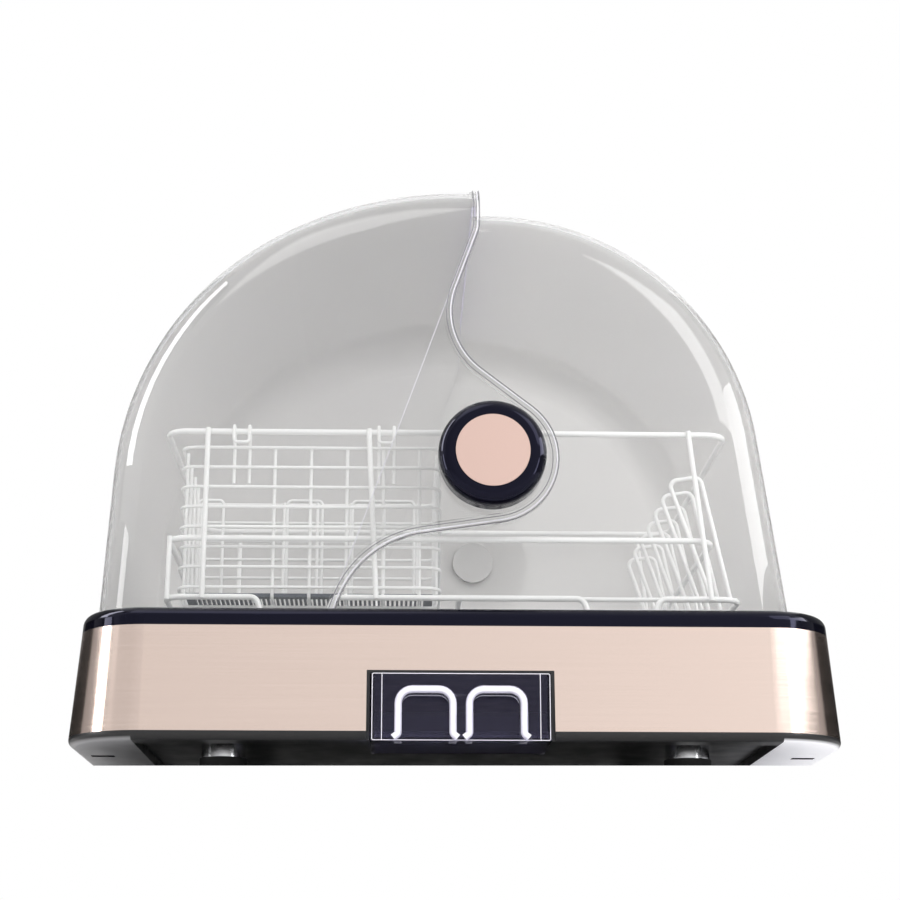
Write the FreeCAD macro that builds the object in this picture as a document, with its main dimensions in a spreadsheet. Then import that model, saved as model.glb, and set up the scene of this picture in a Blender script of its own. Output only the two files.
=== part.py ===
import FreeCAD, Part
import math
import os
import re

import Sketcher
from FreeCAD import Placement, Rotation, Vector

# A dish sterilizer cabinet: a drafted base with a rose-gold band, a clear drip drawer, a two-part clear dome
# whose left half swings up about a pivot over the fixed right half, and a wire rack with a cutlery basket.
# Frame: +X to the right, +Y to the rear, +Z up. The parts are modelled about the middle of the base and every
# node is then moved by body_shift, so that the origin is under the middle of the whole object, on the floor.

# Driving dimensions, in millimetres and degrees: alias -> (value, meaning).
SIZES = {
    "base_length": (490, "base along X at its foot"),
    "base_width": (370, "base along Y at its foot"),
    "base_corner": (50, "corner radius of the base at its foot"),
    "base_draft": (4.5, "draft of the base's sides"),
    "foot_height": (14, "floor to the skirt"),
    "strip_height": (5.5, "black strip under the band"),
    "band_height": (66.3, "rose-gold band"),
    "rim_height": (12, "black top rim"),
    "band_thickness": (0.8, "sheet of the band"),
    "tub_wall": (2.5, "side wall of the tub"),
    "floor_rise": (6, "height of the recess under the floor"),
    "floor_thickness": (2.5, "floor of the tub"),
    "end_pad": (45, "length of the flat pads at both ends of the underside"),
    "underside_border": (20, "border in front of and behind the recess"),
    "pad_slot_length": (15, "slot in each end pad, along X"),
    "pad_slot_width": (8, "slot in each end pad, along Y"),
    "pad_slot_depth": (5, "slot in each end pad"),
    "pad_slot_inset_x": (17, "slot in each end pad from the base's end"),
    "pad_slot_inset_y": (85, "slot in each end pad from the base's front"),
    "rim_round": (7, "upper edge of the rim"),
    "skirt_round": (4.5, "lower edge of the skirt"),
    "ledge_depth": (4, "ledge for the dome, below the rim"),
    "ledge_width": (16, "ledge for the dome"),
    "seat_clearance": (3, "dome to the rim beside it"),
    "basin_depth": (32, "rim to the floor of the basin"),
    "basin_sheet": (1, "sheet of the basin"),
    "boss_inset_x": (50, "casing bosses from the base's ends"),
    "boss_inset_y": (25, "casing bosses from the base's front and rear"),
    "boss_radius": (5, "casing bosses"),
    "casing_screw_radius": (2, "casing screws"),
    "casing_screw_bite": (6, "casing screws into the rim"),
    "casing_head_radius": (4, "heads of the casing screws"),
    "casing_head_height": (2.5, "heads of the casing screws"),
    "foot_inset_x": (98, "feet from the base's ends"),
    "foot_inset_y": (49, "feet from the base's front and rear"),
    "foot_radius": (15, "rubber feet"),
    "foot_rubber_height": (8, "rubber feet"),
    "foot_collar_radius": (14, "collars over the feet"),
    "foot_screw_radius": (2, "screws of the feet"),
    "foot_head_radius": (4.5, "heads of the feet's screws"),
    "foot_head_depth": (3, "floor to the head of a foot's screw"),
    "foot_head_height": (2.5, "heads of the feet's screws"),
    "foot_boss_height": (8, "bosses for the feet's screws"),
    "foot_boss_radius": (5, "bosses for the feet's screws"),
    "drawer_width": (110, "drip drawer"),
    "drawer_x": (1.3, "middle of the drawer"),
    "drawer_bottom": (12.6, "underside of the drawer's nose"),
    "drawer_top": (54.5, "upper edge of the drawer"),
    "drawer_proud": (6, "drawer in front of the skirt"),
    "drawer_wall": (2.2, "wall of the drawer"),
    "drawer_clearance": (1, "drawer to its bay"),
    "nose_depth": (62, "deep front part of the drawer"),
    "tray_depth": (108, "shallow rear part of the drawer"),
    "tray_drop": (2.5, "upper edge of the tray below the nose"),
    "runner_height": (1.7, "runners under the tray"),
    "runner_width": (4, "runners under the tray"),
    "runner_gap": (0.3, "tray to its runners"),
    "bay_wall": (2, "wall of the drawer's bay"),
    "arch_pitch": (43.5, "between the two finger recesses"),
    "arch_width": (38, "outside of an arch"),
    "arch_line": (4.5, "width of the bead round an arch"),
    "arch_top": (46.5, "top of an arch"),
    "arch_corner": (11, "outer corners of an arch"),
    "arch_bead": (1, "bead of an arch in front of the drawer"),
    "arch_flare": (3, "feet of the arches, outwards"),
    "recess_depth": (12, "finger recess"),
    "dome_inset": (25, "lid from the base's front and rear"),
    "dome_wall": (2.5, "wall of both shells"),
    "dome_round": (35, "long edges of the lid"),
    "shell_gap": (1, "lid to the fixed shell at the sides"),
    "pivot_x": (22.5, "pivot, from the middle"),
    "pivot_height": (102.7, "pivot above the rim"),
    "lid_side": (231.4, "lid's side at the ledge, from the middle"),
    "lid_lean": (3.2, "lean of the lid's side"),
    "lid_shoulder": (98.5, "end of the lid's straight side, above the rim"),
    "lid_shoulder_radius": (207, "shoulder of the lid"),
    "lid_shoulder_turn": (59.6, "angle of the shoulder"),
    "lid_crown_radius": (255, "crown of the lid"),
    "lid_reach": (80, "right end of the lid's blank"),
    "fixed_radius": (180.5, "fixed shell, about the pivot"),
    "fixed_lean": (7.4, "lean of the fixed shell's side"),
    "fixed_reach": (112, "left end of the fixed shell's blank, from the pivot"),
    "edge_foot": (77.9, "foot of the sloping edge, left of the middle"),
    "edge_slope": (70.4, "sloping edge"),
    "edge_lower_slope": (8.5, "edge below the pivot"),
    "edge_upper_slope": (142, "edge above the pivot"),
    "edge_ring": (44, "edge round the pivot"),
    "edge_lip_x": (15.5, "upright edge at the crown"),
    "edge_lower_bend": (66, "bend below the pivot"),
    "edge_upper_bend": (50, "bend above the pivot"),
    "edge_lip_bend": (30, "bend at the crown"),
    "shell_overlap": (4, "fixed shell under the lid's edge"),
    "bead_width": (6, "bead along the lid's edge"),
    "bead_height": (1.5, "bead along the lid's edge"),
    "gasket_height": (1.2, "gasket under the lid"),
    "gasket_width": (6, "gasket under the lid"),
    "rest_gap": (0.3, "parts that rest and lift off"),
    "seal_thickness": (2.5, "strip at the crown"),
    "seal_gap": (0.9, "strip at the crown to the lid"),
    "pin_radius": (6, "pivot pins"),
    "pin_flange_radius": (16, "flanges of the pivot pins"),
    "pin_flange": (3, "flanges of the pivot pins"),
    "pin_running": (0.05, "radial clearance of the pins in their bushes"),
    "bush_radius": (10, "pivot bushes"),
    "bush_flange_radius": (14, "flanges of the bushes"),
    "bush_flange": (1.5, "flanges of the bushes"),
    "washer_radius": (11, "washers on the pins"),
    "washer_thickness": (1.5, "washers on the pins"),
    "pin_screw_radius": (2, "screws in the pins"),
    "pin_screw_bite": (9, "screws in the pins"),
    "pin_head_radius": (4, "heads of the pins' screws"),
    "pin_head_height": (3, "heads of the pins' screws"),
    "cap_radius": (35, "pivot caps"),
    "cap_depth": (18, "pivot caps"),
    "cap_round": (8, "front edge of the caps"),
    "cap_wall": (5, "wall of the caps"),
    "cap_socket": (2.7, "wall of the socket in a cap"),
    "disc_radius": (24, "rose-gold discs"),
    "disc_inset": (1.5, "discs in their caps"),
    "disc_proud": (0.4, "discs in front of their caps"),
    "disc_gap": (0.1, "discs in their caps, radially"),
    "lug_length": (14, "lugs of the fixed shell along its wall"),
    "lug_width": (9, "lugs of the fixed shell"),
    "lug_thickness": (3, "lugs of the fixed shell"),
    "lug_x": (120, "front and rear lugs"),
    "lug_y": (60, "lugs on the end wall"),
    "lug_screw_radius": (1.6, "screws of the lugs"),
    "lug_head_radius": (3, "heads of the lugs' screws"),
    "lug_head_height": (2, "heads of the lugs' screws"),
    "lug_screw_bite": (6, "screws of the lugs"),
    "magnet_length": (14, "magnet in the lid, along Y"),
    "magnet_size": (6, "magnet in the lid"),
    "reed_length": (18, "reed switch"),
    "reed_radius": (3, "reed switch"),
    "drain_y": (-95, "drain"),
    "drain_radius": (7, "outside of the drain spout"),
    "drain_wall": (1.5, "wall of the drain spout"),
    "drain_flange_radius": (11, "flange of the drain spout"),
    "drain_flange": (1, "flange of the drain spout"),
    "air_x": (169, "middle of the air outlet"),
    "air_y": (-72, "middle of the air outlet"),
    "air_length": (38, "air outlet along X"),
    "air_width": (36, "air outlet along Y"),
    "air_collar": (6, "raised collar of the air outlet"),
    "air_wall": (2, "walls of the air path"),
    "grille_thickness": (3, "air grille"),
    "grille_lip": (4, "air grille round its outlet"),
    "grille_slot": (2.4, "slots of the air grille"),
    "grille_pitch": (5, "slots of the air grille"),
    "grille_slots": (6, "number of slots in the air grille"),
    "fan_x": (135, "blower axis"),
    "fan_y": (70, "blower axis"),
    "fan_radius": (40, "impeller"),
    "fan_height": (18, "blades of the impeller"),
    "fan_blades": (24, "number of blades"),
    "fan_blade_depth": (9, "blades, radially"),
    "fan_blade_thickness": (1, "blades"),
    "fan_plate": (1.5, "back plate of the impeller"),
    "fan_hub_radius": (6, "hub of the impeller"),
    "fan_gap": (2.5, "impeller to its housing"),
    "shaft_radius": (2, "shaft of the blower"),
    "shaft_running": (0.05, "radial clearance of the shaft"),
    "housing_radius": (52, "blower housing"),
    "housing_height": (36, "blower and heater housings"),
    "motor_radius": (17, "blower motor"),
    "motor_height": (9, "blower motor"),
    "heater_gap": (0.3, "heater in its housing"),
    "heater_depth": (20, "heater along the air's path"),
    "heater_fin": (1.2, "fins of the heater"),
    "heater_fins": (9, "number of fins"),
    "heater_frame": (3, "end bars of the heater"),
    "heater_y": (-30, "rear face of the heater"),
    "cutout_radius": (7, "thermal cut-out"),
    "cutout_height": (4, "thermal cut-out"),
    "intake_slots": (7, "number of slots in the intake"),
    "intake_slot": (4, "slots of the intake"),
    "intake_pitch": (8, "slots of the intake"),
    "intake_length": (50, "slots of the intake"),
    "lamp_x": (-20, "middle of the lamp"),
    "lamp_inset": (67, "lamp from the base's rear"),
    "lamp_height": (18, "lamp above the basin"),
    "lamp_radius": (7.5, "lamp tube"),
    "lamp_glass": (1.2, "glass of the lamp"),
    "lamp_length": (200, "lamp tube"),
    "holder_length": (14, "lamp holders along X"),
    "holder_width": (24, "lamp holders along Y"),
    "holder_grip": (8, "lamp in each holder"),
    "ballast_x": (-80, "lamp ballast"),
    "ballast_inset": (60, "lamp ballast from the base's rear"),
    "ballast_length": (60, "lamp ballast"),
    "ballast_width": (28, "lamp ballast"),
    "ballast_height": (22, "lamp ballast"),
    "board_x": (-150, "control board"),
    "board_y": (40, "control board"),
    "board_length": (84, "control board"),
    "board_width": (60, "control board"),
    "board_thickness": (1.6, "control board"),
    "board_inset": (6, "board screws from its edges"),
    "standoff_height": (8, "standoffs of the board"),
    "standoff_radius": (3.5, "standoffs of the board"),
    "board_screw_radius": (1.4, "screws of the board"),
    "board_head_radius": (2.8, "heads of the board's screws"),
    "board_head_height": (1.8, "heads of the board's screws"),
    "inlet_x": (-120, "mains inlet"),
    "inlet_z": (44, "mains inlet"),
    "inlet_width": (27, "mains inlet"),
    "inlet_height": (20, "mains inlet"),
    "inlet_depth": (26, "mains inlet"),
    "inlet_flange": (8, "flange of the mains inlet on both sides"),
    "inlet_flange_thickness": (3, "flange of the mains inlet"),
    "inlet_wall": (3, "walls of the mains inlet"),
    "inlet_recess": (18, "recess of the mains inlet"),
    "inlet_pin_radius": (1.2, "pins of the mains inlet"),
    "inlet_pin_pitch": (5.5, "pins of the mains inlet"),
    "inlet_pin_offset": (2, "middle pin above the others"),
    "inlet_pin_length": (13, "pins of the mains inlet"),
    "inlet_clearance": (0.3, "mains inlet in its hole"),
    "inlet_screw_radius": (1.6, "screws of the mains inlet"),
    "inlet_head_radius": (3, "heads of the inlet's screws"),
    "inlet_head_height": (2, "heads of the inlet's screws"),
    "block_depth": (10, "thick places of the tub's wall"),
    "button_y": (-60, "power button"),
    "button_z": (52, "power button"),
    "button_radius": (9, "power button"),
    "button_collar_radius": (10.5, "collar at the rear of the button"),
    "button_collar": (2, "collar at the rear of the button"),
    "button_travel": (2.5, "power button"),
    "button_running": (0.3, "power button in its bezel"),
    "bezel_radius": (12, "bezel of the button"),
    "bezel_proud": (1.2, "bezel and button in front of the band"),
    "bezel_fit": (0.1, "bezel in its hole, radially"),
    "switch_size": (26, "switch behind the button"),
    "switch_depth": (17, "switch behind the button"),
    "bend_steps": (2, "short straight runs in each bend of a wire"),
    "rail_radius": (2, "rails of the rack"),
    "post_radius": (2.4, "posts of the rack"),
    "thin_wire": (1.6, "thin wires of the rack"),
    "rack_inset": (45, "rack from the base's front and rear"),
    "rack_corner": (13, "corners of the rack"),
    "top_rail_height": (124.4, "upper rail above the rim"),
    "mid_rail_height": (52.3, "middle rail above the rim"),
    "base_rail_height": (13.5, "lower rail above the rim"),
    "top_rail_left": (190, "upper rail"),
    "top_rail_right": (178.5, "upper rail"),
    "mid_rail_left": (187, "middle rail"),
    "mid_rail_right": (167.5, "middle rail"),
    "base_rail_left": (187.5, "lower rail"),
    "base_rail_right": (184, "lower rail"),
    "rack_foot_left": (104, "feet of the rack on the left"),
    "rack_foot_right": (107, "feet of the rack on the right"),
    "rack_foot_top": (50, "feet of the rack at the rail"),
    "rack_foot_bottom": (22, "feet of the rack at the basin"),
    "rack_foot_bend": (6, "bends of the rack's feet"),
    "sleeve_gap": (0.1, "sleeves on the rack's feet, radially"),
    "left_post_foot": (163.5, "left post at the lower rail, left of the middle"),
    "left_post_head": (163, "left post at the upper rail, left of the middle"),
    "middle_post_foot": (51.8, "middle post at the lower rail, left of the middle"),
    "middle_post_head": (57.6, "middle post at the upper rail, left of the middle"),
    "right_post_foot": (165.2, "right post at the lower rail"),
    "right_post_head": (153.2, "right post at the upper rail"),
    "cross_wire_x": (2, "wire across the rack, right of the basket"),
    "sleeve_wall": (1.4, "sleeves on the rack's feet"),
    "sleeve_length": (12, "sleeves on the rack's feet"),
    "weld_gap": (0.02, "between the surfaces of wires that are welded"),
    "wire_over": (1.5, "wires past the middle of the rail that they are welded to"),
    "floor_wires": (7, "number of wires across the rack's floor"),
    "floor_wire_pitch": (40, "wires across the rack's floor"),
    "loop_foot": (168.5, "plate loops: inner leg at the floor"),
    "loop_head": (142.5, "plate loops: inner leg at the top"),
    "loop_outer_foot": (181, "plate loops: outer leg at the floor"),
    "loop_outer_head": (164, "plate loops: outer leg at the top"),
    "loop_height": (81, "plate loops above the floor wires"),
    "loop_rise": (3, "rise of the plate loops' tops to the right"),
    "loop_bend": (5, "bends of the plate loops"),
    "loop_wire": (1.5, "wire of the plate loops"),
    "basket_left": (180, "basket's left wall"),
    "basket_right": (10.5, "basket's right wall"),
    "basket_back": (-15, "basket's rear wall"),
    "basket_wire": (1.1, "wires of the basket"),
    "basket_rings": (8, "number of rings"),
    "basket_pitch": (13.4, "between the rings"),
    "basket_drop": (9.8, "top ring below the upper rail"),
    "basket_fall": (8, "fall of the basket's rings towards the rear"),
    "basket_corner": (8, "corners of the basket"),
    "basket_bend": (2.7, "bends of the basket's ribs"),
    "basket_ribs": (5, "upright wires in the front wall"),
    "basket_rib_pitch": (23.8, "between the upright wires"),
    "basket_rib_first": (13.5, "first upright wire from the right wall"),
    "basket_cross_ribs": (5, "upright wires in the end walls"),
    "basket_cross_pitch": (24, "between the upright wires in the end walls"),
    "basket_base_drop": (6.6, "bottom of the basket below its lowest ring"),
    "hook_left": (141, "left hook, from the middle"),
    "hook_right": (46, "right hook, from the middle"),
    "hook_width": (10, "between the legs of a hook"),
    "hook_gap": (0.3, "hook to its rail"),
    "hook_tongue": (8, "hook below the rail, in front"),
    "hook_leg": (34, "hook below the rail, behind"),
    "divider_y": (-72, "upright loops in the basket"),
    "divider_height": (88, "upright loops in the basket"),
    "mat_thickness": (2.4, "mat in the basket"),
    "mat_gap": (2.5, "mat to the basket's walls"),
    "mat_border": (5, "border of the mat"),
    "mat_slots": (50, "number of slots in the mat"),
    "mat_slot": (1.5, "slots of the mat"),
    "mat_hole_gap": (0.6, "dividers in the mat, radially"),
}

# Levels and places that follow from the sizes: alias -> formula.
LEVELS = {
    "boss_x": "base_length / 2 - boss_inset_x",
    "boss_y": "base_width / 2 - boss_inset_y",
    "foot_x": "base_length / 2 - foot_inset_x",
    "foot_y": "base_width / 2 - foot_inset_y",
    "pad_slot_x": "base_length / 2 - pad_slot_inset_x",
    "pad_slot_y": "base_width / 2 - pad_slot_inset_y",
    "dome_depth": "base_width - 2 * dome_inset",
    "rack_half_width": "base_width / 2 - rack_inset",
    "lamp_y": "base_width / 2 - lamp_inset",
    "ballast_y": "base_width / 2 - ballast_inset",
    "band_bottom": "foot_height + strip_height",
    "rim_bottom": "foot_height + strip_height + band_height",
    "base_top": "foot_height + strip_height + band_height + rim_height",
    "ledge_level": "base_top - ledge_depth",
    "draft_slope": "tan(base_draft)",
    "floor_bottom": "foot_height + floor_rise",
    "floor_top": "foot_height + floor_rise + floor_thickness",
    "tub_top": "rim_bottom - basin_sheet",
    "basin_floor": "base_top - basin_depth",
    "basin_under": "base_top - basin_depth - basin_sheet",
    "body_shift": "(drawer_proud + arch_bead) / 2",
    "drawer_front": "-(base_width / 2 + drawer_proud)",
    "nose_back": "drawer_front + nose_depth",
    "tray_back": "drawer_front + nose_depth + tray_depth",
    "tray_bottom": "floor_top + runner_height + runner_gap",
    "bay_half": "drawer_width / 2 + drawer_clearance",
    "bay_inner_top": "drawer_top + drawer_clearance",
    "bay_top": "drawer_top + drawer_clearance + bay_wall",
    "bay_front": "-(base_width / 2 - (bay_top - foot_height) * draft_slope)",
    "bay_back": "tray_back + drawer_clearance + bay_wall",
    "notch_back": "nose_back + 2 * drawer_clearance",
    "pivot_level": "base_top + pivot_height",
    "lid_bottom": "ledge_level + gasket_height + rest_gap",
    "lid_half": "dome_depth / 2",
    "fixed_half": "dome_depth / 2 - dome_wall - shell_gap",
    "fixed_inner": "fixed_half - dome_wall",
    "fixed_side": "pivot_x + (fixed_radius + (pivot_level - ledge_level) * sin(fixed_lean)) / cos(fixed_lean)",
    "pocket_length": "lid_side + fixed_side + 2 * seat_clearance",
    "pocket_x": "(fixed_side - lid_side) / 2",
    "pocket_width": "dome_depth + 2 * seat_clearance",
    "pocket_corner": "dome_round + seat_clearance",
    "opening_length": "pocket_length - 2 * ledge_width",
    "opening_width": "pocket_width - 2 * ledge_width",
    "opening_corner": "pocket_corner - ledge_width",
    "shoulder_x": "-lid_side + (base_top + lid_shoulder - ledge_level) * tan(lid_lean)"
                  " + lid_shoulder_radius * cos(lid_lean)",
    "shoulder_z": "base_top + lid_shoulder - lid_shoulder_radius * sin(lid_lean)",
    "crown_x": "shoulder_x + (lid_crown_radius - lid_shoulder_radius) * cos(lid_lean + lid_shoulder_turn)",
    "crown_z": "shoulder_z - (lid_crown_radius - lid_shoulder_radius) * sin(lid_lean + lid_shoulder_turn)",
    "lid_inner_top": "crown_z + sqrt((lid_crown_radius - dome_wall)^2 - (edge_lip_x - crown_x)^2)",
    "pin_end": "lid_half + bush_flange + rest_gap",
    "cap_front": "lid_half + cap_depth",
    "housing_top": "floor_top + housing_height",
    "air_front": "air_y - air_width / 2",
    "air_left": "air_x - air_length / 2",
    "fan_bottom": "floor_top + air_wall + fan_gap",
    "fan_top": "fan_bottom + fan_height",
    "lamp_level": "basin_floor + lamp_height",
    "inlet_face": "base_width / 2 - block_depth - (inlet_z + inlet_height / 2 - foot_height) * draft_slope",
    "button_face": "base_length / 2 - (button_z - foot_height) * draft_slope",
    "block_face": "base_length / 2 - block_depth - (button_z + bezel_radius - foot_height) * draft_slope",
    "top_rail": "base_top + top_rail_height",
    "mid_rail": "base_top + mid_rail_height",
    "base_rail": "base_top + base_rail_height",
    "sleeve_radius": "rail_radius + sleeve_gap + sleeve_wall",
    "rack_foot_level": "basin_floor + rest_gap + sleeve_radius",
    "floor_wire_level": "base_rail + rail_radius + thin_wire + weld_gap",
    "basket_front": "-(rack_half_width - post_radius - hook_gap - basket_wire)",
    "basket_top": "top_rail - basket_drop",
    "basket_base": "basket_top - (basket_rings - 1) * basket_pitch - basket_base_drop",
    "divider_plane": "divider_y + 2 * basket_wire + weld_gap",
    "inlet_end": "inlet_face + block_depth - 1",
    "button_rear": "block_face - rest_gap - button_collar",
}

doc = FreeCAD.newDocument("dish_sterilizer_cabinet")
sizes = doc.addObject("Spreadsheet::Sheet", "sizes")
levels = doc.addObject("Spreadsheet::Sheet", "levels")
nodes = []


def bound(text, sheet=""):
    """An expression whose plain aliases point at the two sheets; sheet names the one that it is written in."""
    def place(match):
        word = match.group()
        if word in SIZES:
            return "sizes." + word
        if word in LEVELS:
            return word if sheet == "levels" else "levels." + word
        return word
    return re.sub(r"[a-z][a-z0-9_]*", place, text)


def fill_sheets():
    for row, (alias, (value, meaning)) in enumerate(SIZES.items(), start=1):
        sizes.set("A%d" % row, meaning)
        sizes.set("B%d" % row, str(value))
        sizes.setAlias("B%d" % row, alias)
    doc.recompute()
    for row, alias in enumerate(LEVELS, start=1):
        levels.setAlias("B%d" % row, alias)
    for row, (alias, formula) in enumerate(LEVELS.items(), start=1):
        levels.set("A%d" % row, alias)
        levels.set("B%d" % row, "=" + bound(formula, "levels"))
    doc.recompute()


def num(alias):
    """The value of a size or level, for the pieces that are drawn point by point."""
    value = (sizes if alias in SIZES else levels).get(alias)
    return float(getattr(value, "Value", value))


def drive(obj, path, text):
    """Binds a property of obj to an expression of sizes and levels."""
    obj.setExpression(path, bound(text))


def node(obj, name):
    """Registers obj as a sub-part, moved so that the origin is under the middle of the whole object."""
    if obj.TypeId in ("Part::Box", "Part::Cylinder"):
        obj = gather(name + "_stock", [obj])
    obj.Label = name
    drive(obj, ".Placement.Base.y", "body_shift")
    nodes.append(obj)
    return obj


def box(name, x0, x1, y0, y1, z0, z1):
    solid = doc.addObject("Part::Box", name)
    for prop, low, high in (("Length", x0, x1), ("Width", y0, y1), ("Height", z0, z1)):
        drive(solid, prop, "(%s) - (%s)" % (high, low))
    for axis, low in (("x", x0), ("y", y0), ("z", z0)):
        drive(solid, ".Placement.Base." + axis, low)
    return solid


def centred_box(name, x, y, length, width, z0, z1):
    return box(name, "(%s) - (%s) / 2" % (x, length), "(%s) + (%s) / 2" % (x, length),
               "(%s) - (%s) / 2" % (y, width), "(%s) + (%s) / 2" % (y, width), z0, z1)


AXIS_TURNS = {
    "X": Rotation(Vector(0, 1, 0), 90),
    "Y": Rotation(Vector(1, 0, 0), -90),
    "Z": Rotation(),
}


def rod(name, radius, x, y, z, length, axis="Z"):
    """A cylinder from the point x, y, z along +axis."""
    solid = doc.addObject("Part::Cylinder", name)
    solid.Placement = Placement(Vector(), AXIS_TURNS[axis])
    drive(solid, "Radius", radius)
    drive(solid, "Height", length)
    for way, text in (("x", x), ("y", y), ("z", z)):
        drive(solid, ".Placement.Base." + way, text)
    return solid


def cut(name, base, *tools):
    result = doc.addObject("Part::Cut", name)
    result.Base = base
    result.Tool = tools[0] if len(tools) == 1 else union(name + "_tools", *tools)
    return result


def union(name, *parts):
    result = doc.addObject("Part::MultiFuse", name)
    result.Shapes = list(parts)
    return result


def overlap(name, first, second):
    result = doc.addObject("Part::Common", name)
    result.Base = first
    result.Tool = second
    return result


def gather(name, parts):
    """Several separate solids that share one node."""
    result = doc.addObject("Part::Compound", name)
    result.Links = list(parts)
    return result


def drawn(name, shape):
    result = doc.addObject("Part::Feature", name)
    result.Shape = shape
    return result


def sketch_on(body, name, role, x="0", y="0", z="0"):
    """A sketch on one of the body's own planes, moved within the plane and off it."""
    sketch = body.newObject("Sketcher::SketchObject", name)
    plane = next(feature for feature in body.Origin.OriginFeatures if feature.Role == role)
    sketch.AttachmentSupport = [(plane, "")]
    sketch.MapMode = "FlatFace"
    for way, text in (("x", x), ("y", y), ("z", z)):
        drive(sketch, ".AttachmentOffset.Base." + way, text)
    return sketch


def constrain(sketch, kind, *where, name="", text=""):
    """Adds a constraint; a named one is a dimension bound to text."""
    if not name:
        return sketch.addConstraint(Sketcher.Constraint(kind, *where))
    if kind == "Radius":
        value = sketch.Geometry[where[0]].Radius
    else:
        run = sketch.getPoint(where[2], where[3]) - sketch.getPoint(where[0], where[1])
        value = run.x if kind == "DistanceX" else run.y
    index = sketch.addConstraint(Sketcher.Constraint(kind, *where, value))
    sketch.renameConstraint(index, name)
    drive(sketch, "Constraints." + name, text)
    return index


def rounded_rectangle(sketch, length, width, radius):
    """Four lines and four tangent arcs about the sketch's origin."""
    half_x, half_y, corner = 60.0, 40.0, 10.0
    ways = ((1, -1), (1, 1), (-1, 1), (-1, -1))
    lines, arcs = [], []
    for index, (side_x, side_y) in enumerate(ways):
        centre = Vector(side_x * (half_x - corner), side_y * (half_y - corner), 0)
        start = math.radians(-90 + 90 * index)
        circle = Part.Circle(centre, Vector(0, 0, 1), corner)
        arcs.append(sketch.addGeometry(Part.ArcOfCircle(circle, start, start + math.pi / 2), False))
    ends = [sketch.getPoint(arc, 2) for arc in arcs]
    starts = [sketch.getPoint(arc, 1) for arc in arcs]
    for index in range(4):
        after = (index + 1) % 4
        lines.append(sketch.addGeometry(Part.LineSegment(ends[index], starts[after]), False))
    for index in range(4):
        after = (index + 1) % 4
        constrain(sketch, "Tangent", arcs[index], 2, lines[index], 1)
        constrain(sketch, "Tangent", lines[index], 2, arcs[after], 1)
        constrain(sketch, "Vertical" if index % 2 == 0 else "Horizontal", lines[index])
    for index in range(3):
        constrain(sketch, "Equal", arcs[0], arcs[index + 1])
    constrain(sketch, "Symmetric", arcs[0], 3, arcs[2], 3, -1, 1)
    constrain(sketch, "Radius", arcs[0], name="corner", text=radius)
    constrain(sketch, "DistanceX", arcs[3], 3, arcs[0], 3, name="span_x",
              text="%s - 2 * (%s)" % (length, radius))
    constrain(sketch, "DistanceY", arcs[0], 3, arcs[1], 3, name="span_y",
              text="%s - 2 * (%s)" % (width, radius))


def pad(body, sketch, length, both_ways=False):
    feature = body.newObject("PartDesign::Pad", sketch.Name + "_pad")
    feature.Profile = sketch
    drive(feature, "Length", length)
    if both_ways:
        feature.SideType = "Symmetric"
    sketch.Visibility = False
    return feature


def fillet(body, feature, radius, wanted):
    """Rounds the edges of feature that wanted picks."""
    doc.recompute()
    names = ["Edge%d" % index for index, edge in enumerate(feature.Shape.Edges, start=1) if wanted(edge)]
    rounding = body.newObject("PartDesign::Fillet", feature.Name + "_round")
    rounding.Base = (feature, names)
    drive(rounding, "Radius", radius)
    return rounding


def rounded_block(name, length, width, radius, bottom, height, draft="0", x="0", y="0"):
    """A block with rounded upright edges, its sides drafted inwards."""
    body = doc.addObject("PartDesign::Body", name)
    sketch = sketch_on(body, name + "_outline", "XY_Plane", x, y, bottom)
    rounded_rectangle(sketch, "(%s)" % length, "(%s)" % width, "(%s)" % radius)
    feature = pad(body, sketch, height)
    drive(feature, "TaperAngle", "-(%s)" % draft)
    return body


def round_outline(body, radius, level):
    """Rounds the outline of a block at one level."""
    height = num(level)

    def at_level(edge):
        box_of_edge = edge.BoundBox
        return abs(box_of_edge.ZMin - height) < 1e-3 and abs(box_of_edge.ZMax - height) < 1e-3
    return fillet(body, body.Tip, radius, at_level)


def envelope(name, inset):
    """The outside of the base from the skirt to the rim, moved inwards by inset."""
    return rounded_block(name, "base_length - 2 * (%s)" % inset, "base_width - 2 * (%s)" % inset,
                         "base_corner - (%s)" % inset, "foot_height", "base_top - foot_height", "base_draft")


def slab(name, bottom, top):
    return box(name, "-base_length", "base_length", "-base_width", "base_width", bottom, top)


def turned(heading):
    """The unit vector at a heading in the XZ plane."""
    return Vector(math.cos(math.radians(heading)), 0, math.sin(math.radians(heading)))


def crossing(first, second):
    """Where two lines, each a point and a heading in the XZ plane, meet."""
    (start, heading), (other, other_heading) = first, second
    way, other_way = turned(heading), turned(other_heading)
    across = way.x * other_way.z - way.z * other_way.x
    apart = other - start
    return start + way * ((apart.x * other_way.z - apart.z * other_way.x) / across)


def bent_edges(points, bends):
    """Straight runs joined by tangent arcs; bends holds one radius for each inner point."""
    edges, start = [], points[0]
    for before, corner, after, bend in zip(points, points[1:], points[2:], bends):
        back = (before - corner).normalize()
        ahead = (after - corner).normalize()
        half = back.getAngle(ahead) / 2
        if bend <= 0 or abs(half - math.pi / 2) < 1e-6:
            edges.append(Part.LineSegment(start, corner).toShape())
            start = corner
            continue
        reach = bend / math.tan(half)
        enter, leave = corner + back * reach, corner + ahead * reach
        middle = corner + (back + ahead).normalize() * (bend / math.sin(half) - bend)
        if (enter - start).Length > 1e-6:
            edges.append(Part.LineSegment(start, enter).toShape())
        edges.append(Part.Arc(enter, middle, leave).toShape())
        start = leave
    edges.append(Part.LineSegment(start, points[-1]).toShape())
    return edges


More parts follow.
